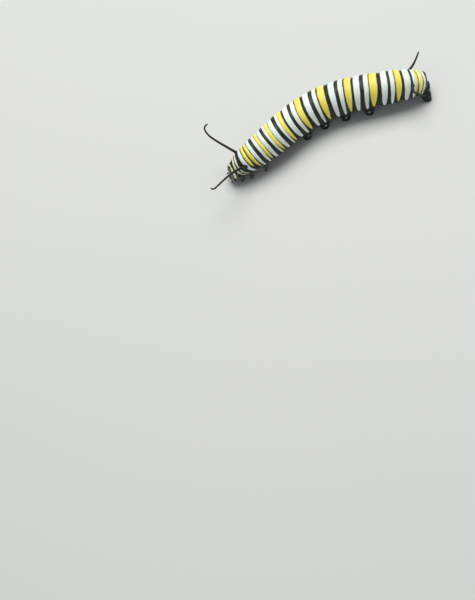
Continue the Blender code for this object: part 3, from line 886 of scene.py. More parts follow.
def band_steps(colour):
    """Stops of a ramp over the body's length. A step lies midway between two bands."""
    rows, steps = BANDS[colour], []
    for k, (start, end, *last_turn) in enumerate(rows):
        step = (rows[k - 1][1] + start) / 2 / LENGTH - 0.5 / RAMP_CELLS if k else 0.0
        turn = last_turn[0] if last_turn else NARROWING[colour][1]
        steps.append((step, ((start + end) / 2 / LENGTH, (end - start) / 2 / WIDEST, turn / HALF_TURN)))
    return steps


def band_depth(finish, colour, lean, turn):
    """How deep a point lies in the nearest band of a colour, and where between its edges, from -1 to 1."""
    ramp = finish.node("ShaderNodeValToRGB", {"steps": band_steps(colour)}, {"Fac": lean / LENGTH})
    reach = finish.part(ramp, 1) * WIDEST
    last_turn = finish.part(ramp, 2) * HALF_TURN
    begin, _, bend, close = NARROWING[colour]
    down = ((turn - begin) / (last_turn - begin)).clamped()
    behind = lean - finish.part(ramp, 0) * LENGTH
    beyond = (turn - last_turn).highest(0.0) * MM_PAST_END
    return reach * (1.0 - down**bend).clamped() ** close - behind.size() - beyond, behind / reach


print("ramp steps:", {colour: len(band_steps(colour)) for colour in BANDS})

# %% [markdown]
# ## Skin finish
# The skin is satin and a little see-through. White is cool with warm patches. Yellow is lemon, nearer to
# amber at a band's front edge and high on the back, and palest at its rear edge. The black has a green
# cast, and is brown or olive where it is a thin line beside yellow. Fine dark lines of painted shade run
# round the body in all of them, where the skin is packed in tiny wrinkles. Only the hard plate is smooth,
# with a few pits.

# %% Skin material
BLACK, BROWN, OLIVE = (0.012, 0.017, 0.015), (0.11, 0.062, 0.008), (0.22, 0.165, 0.02)
COOL_WHITE, WARM_WHITE = (0.80, 0.91, 0.90), (0.90, 0.92, 0.87)
CREAM, DEEP_CREAM = (0.85, 0.92, 0.79), (0.85, 0.88, 0.60)
LEMON, AMBER, PALE_YELLOW = (0.94, 0.83, 0.12), (0.93, 0.66, 0.03), (0.94, 0.88, 0.42)
# The second colour is the olive of the shade painted in the skin's tiny wrinkles
SPOT_WHITE, WRINKLE_SHADE_OLIVE = (0.7, 0.71, 0.62), (0.20, 0.22, 0.12)
# Cream is deep in front of the first place. Behind the second the thin lines are olive on both sides of
# a yellow band, and behind the third yellow is pale all through
HEAD_CREAM_END, OLIVE_FROM, PALE_FROM = 2.2, 38.6, 39.1
BORDER_SOFT, BORDER_WAVER, BROWN_REACH = 0.07, 0.14, 0.24
# Small dull yellow flecks behind the low ends of the yellow bands, on the ridge of the flank
FLECK_TURN, FLECK_BEHIND, FLECK_LONG, FLECK_HIGH = 108.0, 0.45, 0.3, 0.13
MM_EACH_DEGREE = 0.057
PLATE_EDGE, PIT_SHARE, SKIN_BUMP = 0.3, 0.4, 0.035
STREAK_STRETCH, WRINKLE_STRETCH = (5.0, 0.55, 0.55), (11.0, 1.4, 1.4)


def skin_finish():
    finish = Finish("larva_skin", Subsurface_Weight=0.12, Subsurface_Scale=0.0005, Specular_IOR_Level=0.34)
    straight = finish.attribute("straight", "Vector")
    lean = finish.part(straight, 0)
    turn = finish.attribute("turn")
    waver = (finish.noise(straight, 1.3, 3.0) - 0.5) * BORDER_WAVER
    streak = finish.noise(straight, 1.0, 3.0, 0.6, STREAK_STRETCH)
    patch = finish.noise(straight, 0.55)
    grain = finish.noise(straight, 9.0)
    depths = {colour: band_depth(finish, colour, lean, turn) for colour in BANDS}
    yellow_depth, between = depths["yellow"]

    warm = ((patch - 0.42) * 4.0 + (streak - 0.5)).clamped()
    near_head = ((HEAD_CREAM_END - lean) * 0.9).clamped()
    deep = ((streak - 0.42) * 2.5 + near_head).clamped()
    high = (1.0 - turn / 75.0).clamped()
    amber = (patch - 0.5) * 2.6 + (streak - 0.5) * 1.4 - between * 0.3 + high * 0.35
    paler = ((between - 0.2 + (streak - 0.5) * 1.8) * 1.5).clamped() * 0.65
    near_tail = ((lean - PALE_FROM) * 8.0).clamped() * 0.8
    yellow_tone = finish.mix(amber.clamped() * 0.7, LEMON, AMBER)
    tones = {
        "white": finish.mix(warm, COOL_WHITE, WARM_WHITE),
        "cream": finish.mix(deep, CREAM, DEEP_CREAM),
        "yellow": finish.mix(paler.highest(near_tail), yellow_tone, PALE_YELLOW),
    }

    bare = 1.0 - (finish.attribute("dark") + waver).edge(BORDER_SOFT * 2.0)
    brown = (1.0 + yellow_depth / BROWN_REACH).clamped() * (1.1 - turn / 120.0).clamped() * bare
    olive = ((lean - OLIVE_FROM) * 2.5).highest(between * -0.5).clamped()
    colour = finish.mix(brown, BLACK, finish.mix(olive, BROWN, OLIVE))
    spot = (finish.attribute("spot") + waver * 2.0).edge(BORDER_SOFT * 2.0)
    pale = spot
    for name, (depth, _) in depths.items():
        inside = (depth + waver).edge(BORDER_SOFT) * bare
        colour = finish.mix(inside, colour, tones[name])
        pale = pale.highest(inside)
    colour = finish.mix(spot * (0.6 + grain * 0.4), colour, SPOT_WHITE)
    fleck_round = (turn - FLECK_TURN) * (MM_EACH_DEGREE / FLECK_HIGH)
    fleck_along = (yellow_depth + FLECK_BEHIND) / FLECK_LONG
    fleck = (1.0 - (fleck_round * fleck_round + fleck_along * fleck_along)) * FLECK_HIGH
    fleck = (fleck + waver).edge(BORDER_SOFT * 2.0) * between.edge(0.5)
    colour = finish.mix(fleck * 0.22, colour, AMBER)
    # Painted shade: fine dark olive lines round the body, where its tiny wrinkles would be shaded
    wrinkle_shade = ((streak - 0.5) * 0.9).clamped() + ((grain - 0.6) * 0.35).clamped()
    colour = finish.mix(wrinkle_shade * 0.5, colour, WRINKLE_SHADE_OLIVE)

    wrinkle = finish.noise(straight, 1.0, 3.0, 0.55, WRINKLE_STRETCH)
    hard = (finish.attribute("plate") / PLATE_EDGE).clamped()
    pits = finish.noise(straight, 7.5)
    height = (wrinkle * 0.75 + grain * 0.25) * (1.0 - hard) + pits * hard * PIT_SHARE
    roughness = 0.5 - pale * 0.04 - hard * 0.2 + (grain - 0.5) * 0.2
    return finish.feed(Base_Color=colour, Roughness=roughness, Normal=finish.bump(height, SKIN_BUMP))


STUMP_NODES = [f"proleg_{number}_{side}" for number in (3, 4, 5, 6) for side in ("left", "right")]
CLASPER_NODES = ["clasper_left", "clasper_right"]
settle(skin, skin_finish(), [*NAMES, *STUMP_NODES, *CLASPER_NODES])

# %% [markdown]
# ## The head
# The head is a hard, shiny capsule with two lobes. Black is its ground, and cream arches cross it: one
# over the crown from cheek to cheek, and one like an upturned V on the face. A ball is added and each
# of its points is moved to the capsule's form: flat in the face, narrower at the jaw, notched between
# the lobes, with two fine grooves down the face that frame the forehead.

# %% Head capsule
HEAD_WIDTH, HEAD_HEIGHT, HEAD_DEPTH = 3.5, 3.3, 2.4
HEAD_FORWARD, HEAD_CENTRE_HEIGHT, HEAD_TILT = 0.42, 2.6, math.radians(6.0)
CROWN_NOTCH, NOTCH_WIDTH, JAW_NARROWING, FACE_FLATNESS = 0.12, 0.16, 0.2, 0.1
FOREHEAD_TOP, FOREHEAD_OUT, FOREHEAD_FOOT = 0.06, 0.46, -0.66
GROOVE_DEPTH, GROOVE_WIDTH, SEAM_WIDTH = 0.045, 0.05, 0.03

neck, neck_forward, neck_left = level_frame(0.0)
HEAD_FACE = neck_forward * math.cos(HEAD_TILT) + UP * math.sin(HEAD_TILT)
HEAD_WAYS = np.array([HEAD_FACE, neck_left, np.cross(HEAD_FACE, neck_left)])
HEAD_CENTRE = neck + neck_forward * HEAD_FORWARD
HEAD_CENTRE[2] = HEAD_CENTRE_HEIGHT


def from_head(points):
    """Takes points from the head's own frame, of face, left and crown, to their place on the body."""
    return HEAD_CENTRE + np.asarray(points, float) @ HEAD_WAYS


def groove_distance(left, crown):
    """Distance on the face from the two slanting grooves, as a share of the head's half width."""
    run = np.array([FOREHEAD_OUT, FOREHEAD_FOOT - FOREHEAD_TOP])
    reach = np.linalg.norm(run)
    run = run / reach
    offset = np.stack([np.abs(left), crown - FOREHEAD_TOP], axis=-1)
    share = np.clip(offset @ run, 0.0, reach)
    return np.linalg.norm(offset - share[..., None] * run, axis=-1)


def head_surface(direction):
    """Points of the capsule in directions given as face, left and crown shares."""
    face, left, crown = np.moveaxis(np.asarray(direction, float), -1, 0)
    narrow = 1.0 - JAW_NARROWING * np.maximum(-crown, 0.0) ** 1.5
    notch = 1.0 - CROWN_NOTCH * bell(left, NOTCH_WIDTH) * np.maximum(crown, 0.0)
    flat_face = 1.0 - FACE_FLATNESS * np.maximum(face, 0.0) ** 2
    groove = bell(groove_distance(left, crown), GROOVE_WIDTH) * clamp(face * 2.0)
    seam = bell(left, SEAM_WIDTH) * clamp((crown - FOREHEAD_TOP) * 6.0)
    sunk = (1.0 - GROOVE_DEPTH * groove - GROOVE_DEPTH * seam) / 2
    sizes = [HEAD_DEPTH * flat_face, HEAD_WIDTH * narrow, HEAD_HEIGHT * notch]
    return np.stack([way * size * sunk for way, size in zip((face, left, crown), sizes)], axis=-1)


head = added("head_capsule", bpy.ops.mesh.primitive_uv_sphere_add, segments=180, ring_count=120, radius=1.0)
ball = coordinates(head)
set_coordinates(head, from_head(head_surface(ball)))
print("head centre:", np.round(HEAD_CENTRE, 2).tolist(), "mm")

# %% Arches on the head
# Shares of the head's half sizes. The outer arch crosses the crown and bulges forward over each lobe
ARCH_FACE, ARCH_BULGE, ARCH_BULGE_OUT, ARCH_LEAN, ARCH_WIDTH, ARCH_END = 0.3, 0.18, 0.55, 0.09, 0.14, -0.42
BROW_OUT, BROW_WIDTH, BROW_TOP, BROW_FOOT, BROW_FACE = 0.09, 0.06, 0.27, -0.6, 0.35
LIP_HEIGHT, LIP_WIDTH, LIP_END, LIP_FACE = -0.66, 0.07, 0.42, 0.2
MIDLINE_GAP = 0.02
ARCH_CREAM, ARCH_YELLOW = (0.90, 0.90, 0.66), (0.90, 0.82, 0.40)


def arch_depth(ball):
    """How deep points of the head lie inside its cream arches, in millimetres."""
    face, left, crown = ball.T
    left = np.abs(left)
    bulge = ARCH_BULGE * (1.0 - ((left - ARCH_BULGE_OUT) / ARCH_BULGE_OUT) ** 2)
    over = ARCH_WIDTH - np.abs(face - ARCH_FACE - bulge + ARCH_LEAN * (1.0 - crown))
    over = np.minimum.reduce([over, (crown - ARCH_END) * 0.7, left - MIDLINE_GAP])
    run = (FOREHEAD_TOP - crown) * FOREHEAD_OUT / (FOREHEAD_TOP - FOREHEAD_FOOT)
    brow = BROW_WIDTH - np.abs(groove_distance(left, crown) - BROW_OUT)
    inner = left - run + MIDLINE_GAP
    brow = np.minimum.reduce([brow, face - BROW_FACE, inner, crown - BROW_FOOT, BROW_TOP - crown])
    lip = LIP_WIDTH - np.abs(crown - LIP_HEIGHT)
    lip = np.minimum.reduce([lip, LIP_END - left, face - LIP_FACE])
    return np.maximum.reduce([over, brow, lip]) * HEAD_WIDTH / 2


def head_finish():
    finish = Finish("head_shell", Coat_Roughness=0.12, Specular_IOR_Level=0.55)
    place = finish.place()
    waver = (finish.noise(place, 2600.0, 3.0) - 0.5) * 0.05
    tone = finish.noise(place, 1500.0)
    ground = finish.mix(tone, (0.008, 0.008, 0.008), (0.022, 0.019, 0.015))
    cream = finish.mix(((tone - 0.35) * 3.0).clamped(), ARCH_CREAM, ARCH_YELLOW)
    cells = {"Vector": place, "Scale": 7600.0}
    pores = finish.node("ShaderNodeTexVoronoi", {"feature": "F1"}, cells, "Distance")
    dimple = (pores * 2.2).clamped() * 0.6 + finish.noise(place, 16000.0, 3.0) * 0.4
    return finish.feed(
        Base_Color=finish.mix((finish.attribute("arch") + waver).edge(0.04), ground, cream),
        Roughness=0.2 + finish.noise(place, 9000.0) * 0.16,
        Coat_Weight=0.35 + tone * 0.3,
        Normal=finish.bump(dimple, 0.009),
    )


mark(head, "arch", arch_depth(ball))
settle(head, head_finish(), ["head"])

# %% [markdown]
# ## Small eyes
# A larva has six simple eyes low on each cheek, five in a curve and one apart. Each is a clear black
# bead in a narrow rim. One bead is pulled out of a disc in a few rings and copied to each place, square
# to the capsule.

# %% Beads
BEADS, BEAD_SIDES, BEAD_CURVE = 6, 24, 0.17
BEAD_FIRST, BEAD_SWEEP = -70.0, 220.0
CHEEK = unit(np.array([0.6, 0.7, -0.4]))
BEAD_PROFILE = (
    (0.118, -0.05), (0.118, 0.0), (0.108, 0.012), (0.092, 0.012), (0.082, 0.004),
    (0.078, 0.024), (0.066, 0.044), (0.046, 0.06), (0.02, 0.068),
)
SPOT_STEP = 0.02


def head_spot(direction):
    """A point on the capsule with the way out of it."""
    direction = unit(np.asarray(direction, float))
    beside = [direction, *(unit(direction + way * SPOT_STEP) for way in facing(direction))]
    here, a, b = from_head(head_surface(np.array(beside)))
    return here, way_out(here, a, b, HEAD_CENTRE)


row_back = unit(np.array([-1.0, 0.0, 0.0]) + CHEEK * CHEEK[0])
row_high = np.cross(row_back, CHEEK)
bead_places = []
for side in (1, -1):
    for k in range(BEADS):
        turn = math.radians(BEAD_FIRST + BEAD_SWEEP * k / (BEADS - 1))
        way = unit(CHEEK + (row_back * math.cos(turn) + row_high * math.sin(turn)) * BEAD_CURVE)
        root, out = head_spot(way * (1.0, side, 1.0))
        bead_places.append((root, (*facing(out), out)))
BEAD_FINISH = plain_finish(
    "eye_bead", ((0.03, 0.025, 0.02), (0.07, 0.055, 0.035)), (0.28, 0.06), 8000.0,
    end=(0.55, 8.0, (0.006, 0.005, 0.005), 0.2), Coat_Weight=1.0, Coat_Roughness=0.03, Specular_IOR_Level=0.7,
)
small_eyes = joined_copies("small_eyes", turned("bead", BEAD_PROFILE, BEAD_SIDES), bead_places)
settle(small_eyes, BEAD_FINISH)

# %% [markdown]
# ## Hard black shell for legs, jaws and claws
# Legs and jaws are of the same hard shell as the head. Where two parts of a leg meet, a narrow ring of
# soft pale skin shows, and claws and jaw tips thin out to brown. The material reads two marks for that:
# one for the joints and one for the tips.


# %% Shell material
def shell_finish():
    finish = Finish("limb_shell", Coat_Roughness=0.15, Specular_IOR_Level=0.55)
    place = finish.place()
    tone = finish.noise(place, 2200.0, 3.0)
    joint = finish.attribute("joint").clamped()
    tip = finish.attribute("tip").clamped()
    colour = finish.mix(tone, (0.007, 0.007, 0.007), (0.028, 0.024, 0.018))
    colour = finish.mix(tip * (0.55 + tone * 0.5), colour, (0.10, 0.035, 0.008))
    return finish.feed(
        Base_Color=finish.mix(joint * 0.85, colour, (0.44, 0.44, 0.33)),
        Roughness=0.24 + tone * 0.14 + joint * 0.3,
        Coat_Weight=0.4 - joint * 0.4,
        Normal=finish.bump(finish.noise(place, 11000.0), 0.01),
    )


LIMB_SHELL = shell_finish()
print("shell nodes:", len(LIMB_SHELL.tree.nodes))

# %% [markdown]
# ## Mouth
# Under the face hangs a short notched upper lip, and behind it two strong jaws with toothed edges. The
# lower lip closes the mouth from below, with a spinning tube at its middle and a short jointed palp on
# each side. Lips and jaws start as cubes that are subdivided and shaped, and the palps are pulled rings.

# %% Lips and jaws
# How far a cube is drawn towards a ball
ROUNDING = 0.55


def shaped_block(name, size, where, cuts, shape):
    """A cube, subdivided, with each point moved by a shape, in the head's own frame."""
    piece = added(name, bpy.ops.mesh.primitive_cube_add, size=1.0)
    in_edit_mode(piece, bpy.ops.mesh.subdivide, number_cuts=cuts)
    cube = coordinates(piece)
    mark(piece, "tip", clamp(-cube[:, 2] * 1.6 - 0.1))
    cube = cube * (1.0 - ROUNDING) + unit(cube) * 0.5 * ROUNDING
    made = cube.copy()
    shape(made, cube[:, 1], 0.5 - cube[:, 2], np.sign(where[1]))
    set_coordinates(piece, from_head(made * size + where))
    face_out(piece)
    piece.modifiers.new("rounding", "SUBSURF").levels = 1
    apply_modifiers(piece)
    return piece


def lip_shape(made, aside, low, side):
    """Wider above, with a notch in the middle of the lower edge, and bent over the jaws."""
    made[:, 1] *= 1.0 - 0.18 * low
    made[:, 2] += 0.3 * bell(aside, 0.12) * clamp(low * 1.6 - 0.6)
    made[:, 0] += 0.25 * (1.0 - (aside * 2.0) ** 2) - 0.2 * low


def jaw_shape(made, aside, low, side):
    """A scoop that narrows to a toothed edge and turns inwards."""
    made[:, 0] *= 1.0 - 0.45 * low
    made[:, 1] *= 1.0 - 0.2 * low
    made[:, 1] -= side * 0.22 * low**2
    made[:, 2] -= 0.06 * np.cos(aside * 26.0) * clamp(low * 2.0 - 1.2)


def lower_lip_shape(made, aside, low, side):
    """Narrower below."""
    made[:, 1] *= 1.0 - 0.3 * low
    made[:, 0] *= 1.0 - 0.2 * low


def jointed_feeler(name, path_in_head, profile, sides):
    """A short jointed tube in the head's frame. The profile gives the share of the way and the radius."""
    path, shares = even_path(from_head(path_in_head), 26)
    return pull_rings(name, rings_round(path, np.interp(shares, *np.array(profile).T), sides))


PALP_SIDES = 12
PALP_PROFILE = (
    (0.0, 0.2), (0.3, 0.19), (0.34, 0.14), (0.4, 0.15), (0.62, 0.14),
    (0.66, 0.09), (0.72, 0.1), (0.95, 0.08), (1.0, 0.03),
)
SPINNERET_PATH = ((0.1, 0.0, -2.12), (0.34, 0.0, -2.22), (0.5, 0.0, -2.28))
SPINNERET_PROFILE = ((0.0, 0.16), (0.4, 0.13), (0.5, 0.08), (0.9, 0.05), (1.0, 0.03))
mouth_parts = [
    shaped_block("upper_lip", (0.42, 1.24, 0.84), (0.9, 0.0, -1.42), 6, lip_shape),
    shaped_block("jaw", (0.8, 0.68, 0.95), (0.6, 0.35, -1.8), 6, jaw_shape),
    shaped_block("jaw", (0.8, 0.68, 0.95), (0.6, -0.35, -1.8), 6, jaw_shape),
    shaped_block("lower_lip", (1.0, 1.15, 0.8), (0.0, 0.0, -1.88), 5, lower_lip_shape),
]
for side in (1, -1):
    palp_path = ((0.1, side * 0.5, -2.0), (0.3, side * 0.52, -2.16), (0.5, side * 0.47, -2.26))
    mouth_parts.append(jointed_feeler("palp", palp_path, PALP_PROFILE, PALP_SIDES))
mouth_parts.append(jointed_feeler("spinneret", SPINNERET_PATH, SPINNERET_PROFILE, PALP_SIDES))
mouth = joined("mouth_dressed", mouth_parts)
mark(mouth, "joint", 0.0)
settle(mouth, LIMB_SHELL, ["mouthparts"])

# %% [markdown]
# ## Antennae
# Each antenna is tiny: a soft pale base, two black joints that slide out of each other, and one long
# hair at the end. It is one pulled tube, with the soft base marked as a joint.

# %% Antennae
ANTENNA_PATH = ((0.6, 0.85, -1.0), (0.88, 1.07, -1.3), (1.08, 1.18, -1.55), (1.2, 1.22, -1.72))
ANTENNA_PROFILE = (
    (0.0, 0.25), (0.3, 0.235), (0.36, 0.2), (0.42, 0.21), (0.5, 0.195), (0.54, 0.14),
    (0.58, 0.155), (0.76, 0.145), (0.79, 0.09), (0.83, 0.1), (0.96, 0.085), (1.0, 0.04),
)
ANTENNA_SIDES, HAIR_SIDES, HAIR_RADIUS, HAIR_LENGTH, HAIR_BEND = 16, 6, 0.02, 0.3, 0.02
SOFT_BASE = 0.52

for side, name in ((1, "antenna_left"), (-1, "antenna_right")):
    path = np.array(ANTENNA_PATH) * (1, side, 1)
    made = jointed_feeler("antenna", path, ANTENNA_PROFILE, ANTENNA_SIDES)
    before, end = from_head(path[-2:])
    way = unit(end - before)
    hair_path, shares = even_path([end, end + way * 0.16 + UP * HAIR_BEND, end + way * HAIR_LENGTH], 6)
    hair = pull_rings("hair", rings_round(hair_path, HAIR_RADIUS * (1.02 - shares), HAIR_SIDES))
    ring = ring_shares(made)
    mark(made, "joint", clamp((SOFT_BASE - ring) * 30.0) * np.clip(ring * 4.0, 0.3, 1.0))
    mark(made, "tip", 0.0)
    mark(hair, "joint", 0.0)
    mark(hair, "tip", 1.0)
    settle(joined(name + "_dressed", [made, hair]), LIMB_SHELL, [name])

# %% [markdown]
# ## True legs
# Six true legs stand in front, each of four hard joints and one curved claw. The joints are cups: each
# is widest at its far end, and the next slips into it through a ring of soft skin. The way of the leg
# and its thickness are those of the solid.

# %% Legs
# The share of the segment's length and how far out the legs stand
LEG_PLACES = {"thorax_1": (0.45, 1.35), "thorax_2": (0.5, 1.75), "thorax_3": (0.5, 2.15)}
LEG_RADII = (0.58, 0.56, 0.43, 0.49, 0.35, 0.39, 0.28, 0.26, 0.12)
LEG_END = (0.92, 0.75, 0.45)
LEG_JOINTS = (0.2, 0.46, 0.69, 0.88)
CUP_BEFORE, CUP_REACH, CUP_SWELL, GAP_WIDTH, GAP_DEPTH = 0.035, 0.05, 0.07, 0.014, 0.2
LEG_SIDES, LEG_RINGS, CLAW_SIDES, CLAW_RINGS = 20, 56, 10, 12
CLAW_RADIUS, CLAW_FLOOR, CLAW_ARCH = 0.07, 0.015, 0.06
NAME_OF_SIDE = {1: "left", -1: "right"}


def leg_way(centre, forward, left, belly, spread):
    """Points down the middle of a leg: a share of its spread, a reach ahead and a height."""
    rows = (
        (0.55, -0.15, belly + 0.75),
        (0.8, 0.0, belly + 0.1),
        (1.0, 0.15, belly * 0.62),
        (1.0, 0.38, belly * 0.28),
        (0.9, 0.52, 0.13),
    )
    ground = centre * (1, 1, 0)
    return [ground + left * (spread * out) + forward * ahead + UP * high for out, ahead, high in rows]


def make_leg(segment, side):
    share, spread = LEG_PLACES[segment]
    along = place_in(segment, share)
    centre, forward, left = level_frame(along)
    left = left * side
    belly = centre[2] - half_width(along) * HEIGHT_TO_WIDTH * BELLY_DEPTH
    path, shares = even_path(leg_way(centre, forward, left, belly, spread), LEG_RINGS)
    radii = np.interp(shares, np.linspace(0.0, 1.0, len(LEG_RADII)), LEG_RADII)
    soft = np.zeros(LEG_RINGS)
    for joint in LEG_JOINTS:
        cup = clamp(1.0 - np.abs(shares - (joint - CUP_BEFORE)) / CUP_REACH)
        gap = bell(shares - joint, GAP_WIDTH)
        radii *= (1.0 + CUP_SWELL * cup) * (1.0 - GAP_DEPTH * gap)
        soft = np.maximum(soft, gap)
    radii[-3:] *= LEG_END
    shin = pull_rings("leg", rings_round(path, radii, LEG_SIDES))
    ring = ring_shares(shin)
    mark(shin, "joint", np.interp(ring, shares, soft))
    mark(shin, "tip", np.clip((ring - 0.8) * 2.0, 0.0, 0.4))
    end = path[-1]
    ahead = unit(end - path[-3])
    claw_way = [end - ahead * 0.1, end + ahead * 0.06 - left * 0.04, end - left * 0.15 + ahead * 0.1]
    claw_path, shares = even_path(claw_way, CLAW_RINGS)
    claw_path[:, 2] = np.maximum(claw_path[:, 2], CLAW_FLOOR + CLAW_ARCH * (1.0 - shares))
    claw = pull_rings("claw", rings_round(claw_path, CLAW_RADIUS * (1.03 - shares) ** 0.8, CLAW_SIDES))
    mark(claw, "joint", 0.0)
    mark(claw, "tip", 0.9)
    name = f"leg_{segment[-1]}_{NAME_OF_SIDE[side]}"
    settle(joined(name + "_dressed", [shin, claw]), LIMB_SHELL, [name])


for segment in LEG_PLACES:
    for side in (1, -1):
        make_leg(segment, side)

# %% [markdown]
# ## Feelers
# The long feelers aren't antennae but soft horns of skin, two behind the head and two near the tail.
# They are matt black, thick at the root, and ringed all along like the rest of the skin. The front pair
# curls at the tips. Each is a pulled tube with many rings, whose radius rises and falls a little.

# %% Feelers
# Steps from the root: forward, outward and up
FEELER_WAYS = {
    "feeler_front_left": (
        (1.25, 0.6, 1.45), (2.75, 1.5, 2.9), (4.0, 2.15, 3.65), (5.45, 2.95, 4.45), (6.5, 3.5, 5.05),
        (6.9, 3.45, 5.75),
    ),
    "feeler_front_right": (
        (0.5, 0.5, 1.6), (1.4, 1.85, 3.75), (1.9, 2.8, 5.4), (1.85, 3.6, 6.55), (1.35, 3.95, 6.95),
        (0.7, 3.95, 6.95),
    ),
    "feeler_rear_left": ((0.0, 1.75, 0.2), (-0.85, 2.6, 0.4), (-1.4, 3.25, 0.5), (-2.0, 3.65, 0.7)),
    "feeler_rear_right": ((-0.75, 0.45, 0.75), (-1.45, 1.2, 1.6), (-2.05, 2.0, 2.45)),
}
# The radius at the buried end, at the flare's end and at the tip
FRONT_RADII, REAR_RADII, FEELER_FLARE = (0.42, 0.25, 0.15), (0.38, 0.25, 0.14), 0.16
FEELER_TIP = (0.97, 0.88, 0.68, 0.35)
ROOT_DEPTH, ROOT_FLARE, ROOT_FLARE_REACH = 1.0, 0.12, 0.28
FEELER_SIDES, RING_SPACING = 16, 0.09
RINGS_IN_A_WAVE, WAVE_HEIGHT = 4, 0.05


def make_feeler(name):
    segment, share, turn = FEELER_ROOTS[name]
    _, forward, left, up = body_frame(place_in(segment, share))
    left = left * math.copysign(1.0, turn)
    root = feeler_root(name)
    way = [root + forward * ahead + left * out + up * high for ahead, out, high in FEELER_WAYS[name]]
    way = [root + unit(root - way[0]) * ROOT_DEPTH, root, *way]
    length = smooth_path(way)[1][-1]
    count = int(length / RING_SPACING)
    path, shares = even_path(way, count)
    radii = np.interp(shares, [0.0, FEELER_FLARE, 1.0], FRONT_RADII if "front" in name else REAR_RADII)
    wave = np.cos(2 * math.pi * np.arange(count) / RINGS_IN_A_WAVE)
    radii *= 1.0 + WAVE_HEIGHT * wave * clamp(shares * 6.0 - 0.4)
    radii *= 1.0 + ROOT_FLARE * bell(np.maximum(shares * length - ROOT_DEPTH, 0.0), ROOT_FLARE_REACH)
    radii[-4:] *= FEELER_TIP
    made = pull_rings(name + "_dressed", rings_round(path, radii, FEELER_SIDES))
    settle(made, FEELER_SKIN, [name])
    return round(float(length - ROOT_DEPTH), 1)


FEELER_SKIN = plain_finish(
    "feeler_skin", ((0.006, 0.008, 0.007), (0.024, 0.026, 0.022)), (0.46, 0.22), 1800.0, 3.0,
    fine=14000.0, depth=0.02, Specular_IOR_Level=0.4,
)
print("feeler lengths in mm:", [make_feeler(name) for name in FEELER_WAYS])

# %% [markdown]
# ## Breathing holes
# A small oval hole for breathing lies on each side of the first thorax segment and of the first eight
# abdomen segments. It is a raised rim round a dark slit. It is modelled once like the eye bead, but its
# last rings go down again into the slit.

# %% Breathing holes
HOLE_TURN, HOLE_SIDES, HOLE_OVAL = math.radians(88.0), 20, 0.6
HOLE_SEGMENTS = {"thorax_1": 0.62, **{f"abdomen_{number}": 0.4 for number in range(1, 9)}}
HOLE_PROFILE = (
    (0.17, -0.12), (0.17, 0.015), (0.155, 0.038), (0.13, 0.045),
    (0.105, 0.035), (0.085, -0.01), (0.05, -0.03), (0.02, -0.03),
)
SKIN_STEP = 0.05


def skin_spot(along, angle):
    """A point on the finished skin with the way out of it."""
    alongs = np.array([along, along + SKIN_STEP, along])
    angles = np.array([angle, angle, angle + SKIN_STEP])
    here, further, round_it = section_point(alongs, angles, half_width(alongs) * tail_shape(alongs))
    way = way_out(here, round_it, further, body_frame(along)[0])
    lift = relief(alongs[:1], angles[:1], leaning(alongs[:1], angles[:1]))[0]
    return here + way * lift, way


hole_places = []
for segment, share in HOLE_SEGMENTS.items():
    for side in (1, -1):
        along = place_in(segment, share)
        root, way = skin_spot(along, side * HOLE_TURN)
        forward = body_frame(along)[1]
        across = unit(forward - way * (way @ forward))
        hole_places.append((root, (across, np.cross(way, across), way)))
HOLE_FINISH = plain_finish(
    "breathing_hole", ((0.012, 0.012, 0.01), (0.05, 0.045, 0.03)), (0.3, 0.2), 9000.0, depth=0.01,
    end=(0.62, 9.0, (0.002, 0.002, 0.002), 0.0), Specular_IOR_Level=0.5,
)
hole = turned("hole", HOLE_PROFILE, HOLE_SIDES, HOLE_OVAL)
settle(joined_copies("breathing_holes", hole, hole_places), HOLE_FINISH)

# %% [markdown]
# ## Gripping hooks
# The sole of each stump carries a curved row of tiny brown hooks on its inner side, with which the larva
# holds a leaf. One hook, a small bent cone of five sides, is pulled in a few rings and copied along the
# rim of each sole. Short and long ones take turns.

# %% Hooks
HOOKS_IN_A_ROW, HOOK_SIDES, HOOK_RINGS = 22, 5, 5
HOOK_LENGTH, SHORT_HOOK, HOOK_THICKNESS, HOOK_HEIGHT = 0.17, 0.72, 0.15, 0.12
HOOK_BEND = ((0.0, 0.0, 0.0), (0.7, 0.0, -0.18), (1.0, 0.0, -0.56))
HOOK_FIRST, HOOK_SWEEP = 205.0, 130.0

hook_path, hook_shares = even_path(HOOK_BEND, HOOK_RINGS)
hook = pull_rings("hook", rings_round(hook_path, HOOK_THICKNESS * (1.04 - hook_shares), HOOK_SIDES))
hook_places = []
for foot in FEET:
    middle, forward, out = stump_middle(*foot, 0.0)
    for k in range(HOOKS_IN_A_ROW):
        turn = math.radians(HOOK_FIRST + HOOK_SWEEP * k / (HOOKS_IN_A_ROW - 1))
        spread = round_foot(turn, forward, out, foot[-1][-1])
        ways = (unit(spread), np.cross(UP, unit(spread)), UP)
        length = HOOK_LENGTH * (1.0 if k % 2 else SHORT_HOOK)
        hook_places.append((middle + spread + UP * HOOK_HEIGHT, ways, length))
HOOK_FINISH = plain_finish(
    "hook_horn", ((0.03, 0.012, 0.004), (0.06, 0.022, 0.006)), (0.28, 0.12), 6000.0,
    end=(1.0, -1.0, (0.12, 0.05, 0.015), 0.0), Coat_Weight=0.3, Specular_IOR_Level=0.5,
)
settle(joined_copies("gripping_hooks", hook, hook_places), HOOK_FINISH)

# %% [markdown]
# ## Short bristles
# The skin looks bare but has fine short hairs, thin on the back and thicker above the feet, on the head
# and on the tail. One bristle, a bent cone of four sides, is copied to each root and leans back. Each
# also keeps a small patch of a map, at its root's place on the skin as if it were unrolled, so that an
# export can paint the bristles one by one.

# %% Where bristles grow
BACK_BRISTLES, STUMP_BRISTLES, HEAD_BRISTLES, TAIL_BRISTLES = 300, 16, 34, 18
BACK_TURN, TAIL_TURN = math.radians(118), math.radians(115)
FACE_LEAST = 0.05
MAP_START, MAP_LENGTH, MAP_GIRTH, MAP_MIDDLE = 0.05, 0.9, 0.25, 0.4
STUMP_ROW, HEAD_ROW, HEAD_MAP = 0.24, 0.82, 0.1
rng = np.random.default_rng(7)
bristle_places = []


